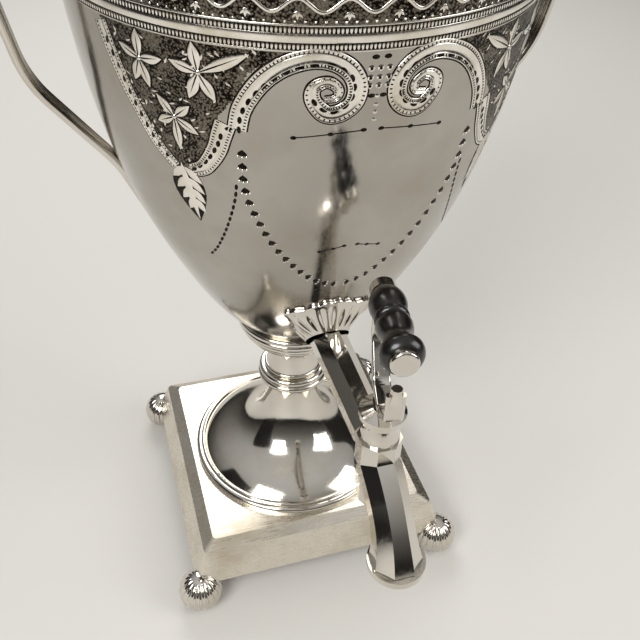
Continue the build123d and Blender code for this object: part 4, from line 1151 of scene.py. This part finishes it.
    def _acanthus(self) -> None:
        """Builds the leaf drop that ends the vine, with a painted shadow under its lobes."""
        drop, outline = CutWork(self.surface), CutWork(self.surface)
        top, tip = self._mm(self.drop_line)
        # a flat dark petal wider and longer than the drop, under it: painted shade round its lobes
        outline.petal(top, (tip[0], tip[1] - self.drop_shadow_past), **DROP_SHADOW)
        for k, spread in enumerate(self.lobe_spreads):
            z = top[1] - self.lobe_start - self.lobe_pitch * k
            along = k / (len(self.lobe_spreads) + 1)
            base = (top[0] * self.lobe_lean + (tip[0] - top[0]) * along, z)
            for side in (-1, 1):
                drop.petal(base, (base[0] + side * spread, z - self.lobe_fall), **LOBE)
        drop.petal(top, tip, **MIDDLE_LOBE)
        outline.finish("acanthus_painted_shadow", self.finishes.pit)
        drop.finish("acanthus_drop", self.finishes.bright_cut)

    def _husk(self, cuts: CutWork, pearls: CutWork, at: Point2, heading: float) -> None:
        """Lays one husk: three dark cuts that spread from a point, with a pearl on each.

        Args:
            cuts: gathers the dark cuts.
            pearls: gathers the pearls.
            at: the husk's point.
            heading: the way it opens, in radians.
        """
        for spread in (-self.husk_spread, 0.0, self.husk_spread):
            way = (math.cos(heading + spread), math.sin(heading + spread))
            tip = (at[0] + self.husk_length * way[0], at[1] + self.husk_length * way[1])
            cuts.petal(at, tip, self.husk_length * self.husk_width, **HUSK_CUT)
            pearls.bead(tip, **PEARL)

    def _festoons(self) -> None:
        """Builds the husk chain under the plain place and the oval chain beside it."""
        cuts, pearls = CutWork(self.surface), CutWork(self.surface)
        line = smooth_line(self._mm(self.festoon), self.husk_pitch)
        for (x0, z0), (x1, z1) in zip(line, line[1:]):
            self._husk(cuts, pearls, (x0, z0), math.atan2(z1 - z0, x1 - x0))
        outer = smooth_line(self._mm(self.outer_festoon), self.chain_pitch)
        for (x0, z0), (x1, z1) in zip(outer, outer[1:]):
            lean = math.degrees(math.atan2(z1 - z0, x1 - x0))
            cuts.bead((x0, z0), lean=lean, **CHAIN_OVAL)
        cuts.finish("festoon_cuts", self.finishes.pit)
        pearls.finish("husk_pearls", self.finishes.bright_cut)

    def _centre(self) -> None:
        """Builds the column of small rings and ovals between the two roundels."""
        rings = CutWork(self.surface, mirrored=False)
        cuts = CutWork(self.surface, mirrored=False)
        for z in self.column_rows:
            for angle in self.column_sides:
                x = self.surface.across(angle)
                rings.bead((x, z), **COLUMN_RING)
                cuts.bead((x, z), **COLUMN_CUT)
        for z in self.column_beads:
            rings.bead((0.0, z), **COLUMN_BEAD)
        for angle in self.column_oval_sides:
            for z in self.column_oval_heights:
                cuts.bead((self.surface.across(angle), z), **COLUMN_OVAL)
        rings.finish("column_rings", self.finishes.bright_cut)
        cuts.finish("column_cuts", self.finishes.pit)

    def _rules(self) -> None:
        """Builds the thin rules with small diamonds on the plain place."""
        lines = CutWork(self.surface)
        for z, reach in self.rules:
            end = self.surface.across(-reach)
            points = [(-self.rule_start, z), (end / 2, z - self.rule_falls[0]),
                      (end, z - self.rule_falls[1])]
            line = smooth_line(points, self.rule_step)
            lines.ribbon(line, lambda t: self.rule_half, self.rule_strip)
            for share in (0.0, 0.5, 1.0):
                lines.bead(line[int(share * (len(line) - 1))], **RULE_DIAMOND)
        lines.finish("plain_place_rules", self.finishes.pit)

    def build(self) -> None:
        """Builds the whole panel, front and back."""
        self._ground()
        self._scrolls()
        self._sprays()
        self._acanthus()
        self._festoons()
        self._centre()
        self._rules()


@dataclass
class TapCalyx:
    """The fluted calyx at the tap's root: petals that spread from the barrel onto the body."""

    surface: BodySurface
    finishes: Finishes
    middle_z: float = 164.5
    root_radius: float = 8.3
    root_stand: float = 9.0      # of the petals' roots off the body, along the barrel
    rim_stand: float = 1.5
    petals: int = 18
    flute_depth: float = 0.9
    lobe: float = 0.9
    columns: int = 216
    rings: int = 14
    rim_step: float = 0.5
    rim_sink: float = -0.2       # of the rim's edge, into the body
    fall: float = 1.7            # how quickly the petals drop from root to rim
    flute_reach: float = 1.15
    rim: tuple[Point2, ...] = (
        (0.0, 152.6), (7.6, 156.4), (11.6, 163.0), (14.4, 171.0), (18.6, 180.2), (12.6, 183.0),
        (6.4, 186.8), (0.0, 188.4), (-6.4, 186.8), (-12.6, 183.0), (-18.6, 180.2),
        (-14.4, 171.0), (-11.6, 163.0), (-7.6, 156.4),
    )

    def _place(self, x: float, z: float, stand: float) -> Vector:
        """Places a point straight out from the body.

        Args:
            x: its distance to the right of the tap, in mm.
            z: its height in mm.
            stand: how far it stands off the body, in mm.

        Returns:
            The place in metres.
        """
        radius = self.surface.radius(z)
        angle = math.radians(FRONT_ANGLE) + math.asin(x / radius)
        return Vector((
            (radius + stand) * math.cos(angle), (radius + stand) * math.sin(angle), z
        )) * MM

    def build(self) -> None:
        """Builds the calyx in place of the plain flange."""
        rim = smooth_line(self.rim, self.rim_step, closed=True)
        vertices: list[Vector] = []
        for i in range(self.columns):
            place = i / self.columns * (len(rim) - 1)
            low = int(place)
            share = place - low
            x, z = (a * (1 - share) + b * share for a, b in zip(rim[low], rim[low + 1]))
            reach = math.hypot(x, z - self.middle_z)
            way = (x / reach, (z - self.middle_z) / reach)
            flute = abs(math.sin(math.pi * self.petals * i / self.columns))
            outer = reach + self.lobe * flute
            for ring in range(self.rings):
                t = ring / (self.rings - 1)
                radius = self.root_radius + (outer - self.root_radius) * t
                stand = (self.rim_stand
                         + (self.root_stand - self.rim_stand) * (1 - t) ** self.fall)
                swelling = math.sin(math.pi * min(t * self.flute_reach, 1.0))
                stand += self.flute_depth * flute * swelling
                vertices.append(self._place(
                    radius * way[0], self.middle_z + radius * way[1], stand
                ))
            vertices.append(self._place(
                outer * way[0], self.middle_z + outer * way[1], self.rim_sink
            ))
        wide = self.rings + 1
        faces = [
            (i * wide + k, i * wide + k + 1,
             (i + 1) % self.columns * wide + k + 1, (i + 1) % self.columns * wide + k)
            for i in range(self.columns) for k in range(wide - 1)
        ]
        calyx = new_piece("tap_calyx", vertices, faces, self.finishes.polished)
        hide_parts("tap_flange")


@dataclass
class Urn:
    """The urn's own CAD pieces, dressed sub-assembly by sub-assembly."""

    finishes: Finishes

    def dress_base(self) -> None:
        """Dresses the feet, the plinth, the trumpet foot and the stem."""
        dress(("ball_foot_front_left", "ball_foot_front_right", "ball_foot_back_left",
               "ball_foot_back_right", "plinth_ring", "trumpet_foot", "stem_collar",
               "stem_cup"), self.finishes.polished)
        dress(("plinth",), self.finishes.satin)
        dress(("foot_studs", "foot_nuts", "tie_rod", "tie_washer", "tie_nut"),
              self.finishes.nickel)

    def dress_body(self) -> None:
        """Dresses the body, its mouldings and the strap handles."""
        dress(("urn_body",), self.finishes.body)
        dress(("shoulder_bead", "rim_moulding", "handle_left", "handle_right",
               "hinge_body_leaf", "hinge_pin"), self.finishes.polished)
        dress(("heater_sleeve", "sleeve_cover", "cover_knob"), self.finishes.lining)
        dress(("heater_iron", "iron_loop"), self.finishes.iron)

    def dress_tap(self) -> None:
        """Dresses the tap, its key and its ebony grip."""
        dress(("tap_flange", "tap_barrel", "tap_body", "tap_plug", "tap_bonnet", "tap_lever",
               "grip_button_front", "grip_button_back", "grip_spindle", "tap_pin"),
              self.finishes.polished)
        dress(("tap_strainer", "plug_washer", "plug_nut"), self.finishes.nickel)
        dress(("tap_grip",), self.finishes.ebony)

    def dress_lid(self) -> None:
        """Dresses the lid, its hinge leaf and the finial."""
        dress(("lid", "lid_bezel", "hinge_lid_leaf", "finial_base", "finial_button"),
              self.finishes.polished)
        dress(("finial_ebony",), self.finishes.ebony)
        dress(("finial_stud", "finial_nut"), self.finishes.nickel)

    def build(self) -> None:
        """Dresses every CAD node."""
        self.dress_base()
        self.dress_body()
        self.dress_tap()
        self.dress_lid()


@dataclass
class Studio:
    """The pale floor, the room's soft light and the camera at the photograph's angle."""

    floor_tone: str = "#D9D6D0"
    room_top: str = "#E9E8E6"
    room_side: str = "#6E6C69"
    room_low: str = "#2C2A28"
    ramp_middle: float = 0.28    # where the room's side tone lies between low and top
    room_strength: float = 0.75
    floor_side: float = 3.2
    floor_roughness: float = 0.85
    card_tone: str = "#141312"
    card_aim: Point3 = (0.0, 0.0, 0.25)
    cards: tuple[tuple[str, Point3, Point2], ...] = (      # name, place and size in metres
        ("dark_card_left", (-1.1, -0.1, 0.35), (0.7, 1.4)),
        ("dark_card_right", (1.15, 0.2, 0.3), (0.8, 1.3)),
    )
    lamp_aim: Point3 = (0.0, 0.0, 0.22)
    lamps: tuple[tuple[str, Point3, float, float], ...] = (    # name, place, side and watts
        ("window_left", (-0.75, -0.75, 1.0), 0.6, 11.0),
        ("fill_right", (0.95, -0.6, 0.8), 0.7, 6.0),
        ("back_light", (0.1, 0.95, 0.9), 0.7, 6.0),
    )
    azimuth: float = -18.56
    elevation: float = 40.25
    roll: float = 2.86
    distance: float = 0.2258
    clip_start: float = 0.01
    target: Point3 = (-0.03313, -0.14192, 0.25311)
    lens: float = 44.87
    sensor: float = 36.0

    def _sheet(self, name: str, size: Point2, place: Matrix, paper: MattPaper) -> None:
        """Lays or stands a plain sheet on the stage.

        Args:
            name: the sheet's name.
            size: its width and height, in metres.
            place: where its middle goes and how it is turned.
            paper: what it is made of.
        """
        mesh = bpy.data.meshes.new(name)
        w, h = size[0] / 2, size[1] / 2
        mesh.from_pydata([(-w, -h, 0), (w, -h, 0), (w, h, 0), (-w, h, 0)], [], [(0, 1, 2, 3)])
        mesh.transform(place)
        sheet = bpy.data.objects.new(name, mesh)
        bpy.context.scene.collection.objects.link(sheet)
        mesh.materials.append(paper.build())

    def _paper(self) -> None:
        """Lays the pale floor, and stands dark cards for the silver to reflect."""
        floor = MattPaper("matt_paper_floor", self.floor_tone, self.floor_roughness)
        self._sheet("studio_floor", (self.floor_side, self.floor_side), Matrix(), floor)
        for name, centre, size in self.cards:
            facing = (Vector(self.card_aim) - Vector(centre)).normalized()
            turn = facing.to_track_quat("Z", "Y").to_matrix().to_4x4()
            place = Matrix.Translation(centre) @ turn
            self._sheet(name, size, place, MattPaper(name, self.card_tone))

    def _room(self) -> None:
        """Makes a soft room: bright above, dark low down, so that the silver has contrast."""
        world = bpy.data.worlds.new("soft_room")
        bpy.context.scene.world = world
        world.use_nodes = True
        tree = world.node_tree
        tree.nodes.clear()
        heading = add_node(tree, "ShaderNodeTexCoord").outputs["Generated"]
        height = add_node(
            tree, "ShaderNodeSeparateXYZ", {}, {"Vector": heading}
        ).outputs["Z"]
        ramp = add_node(tree, "ShaderNodeValToRGB", {}, {"Fac": height})
        stops = ramp.color_ramp.elements
        stops[0].position, stops[0].color = 0.0, linear(self.room_low)
        stops[1].position, stops[1].color = 1.0, linear(self.room_top)
        middle = stops.new(self.ramp_middle)
        middle.color = linear(self.room_side)
        sky = add_node(
            tree, "ShaderNodeBackground", {},
            {"Color": ramp.outputs["Color"], "Strength": self.room_strength},
        )
        seen = add_node(
            tree, "ShaderNodeBackground", {}, {"Color": linear(self.floor_tone), "Strength": 1.0}
        )
        path = add_node(tree, "ShaderNodeLightPath")
        mixed = add_node(
            tree, "ShaderNodeMixShader", {},
            {
                0: path.outputs["Is Camera Ray"],
                1: sky.outputs["Background"], 2: seen.outputs["Background"],
            },
        )
        add_node(tree, "ShaderNodeOutputWorld", {}, {"Surface": mixed.outputs["Shader"]})

    def _lamps(self) -> None:
        """Hangs large square lamps aimed at the body."""
        for name, place, side, watts in self.lamps:
            data = bpy.data.lights.new(name, "AREA")
            data.shape = "SQUARE"
            data.size = side
            data.energy = watts
            lamp = bpy.data.objects.new(name, data)
            lamp.location = place
            aim = Vector(self.lamp_aim) - Vector(place)
            lamp.rotation_euler = aim.to_track_quat("-Z", "Y").to_euler()
            bpy.context.scene.collection.objects.link(lamp)

    def _camera(self) -> None:
        """Stands the camera at the photograph's viewing angle."""
        az, el, roll = (math.radians(a) for a in (self.azimuth, self.elevation, self.roll))
        back = Vector((math.sin(az) * math.cos(el), -math.cos(az) * math.cos(el), math.sin(el)))
        level = Vector((math.cos(az), math.sin(az), 0.0))
        rise = back.cross(level)
        right = level * math.cos(roll) + rise * math.sin(roll)
        up = rise * math.cos(roll) - level * math.sin(roll)
        place = Vector(self.target) + back * self.distance
        data = bpy.data.cameras.new("photograph_view")
        data.lens = self.lens
        data.sensor_width = self.sensor
        data.clip_start = self.clip_start
        camera = bpy.data.objects.new("photograph_view", data)
        camera.matrix_world = Matrix((
            (right.x, up.x, back.x, place.x),
            (right.y, up.y, back.y, place.y),
            (right.z, up.z, back.z, place.z),
            (0.0, 0.0, 0.0, 1.0),
        ))
        bpy.context.scene.collection.objects.link(camera)
        bpy.context.scene.camera = camera

    def build(self) -> None:
        """Sets the floor, the light and the camera."""
        bpy.context.scene.view_settings.view_transform = "Standard"
        self._paper()
        self._room()
        self._lamps()
        self._camera()


def main() -> None:
    """Builds the stage and every piece of the urn, in order."""
    logging.basicConfig(level=logging.INFO, format="%(message)s")
    Studio().build()
    finishes = Finishes()
    Urn(finishes).build()
    surface = BodySurface()
    EngravedBorder(surface, finishes).build()
    EngravedPanel(surface, finishes).build()
    TapCalyx(surface, finishes).build()


if __name__ == "__main__":
    main()
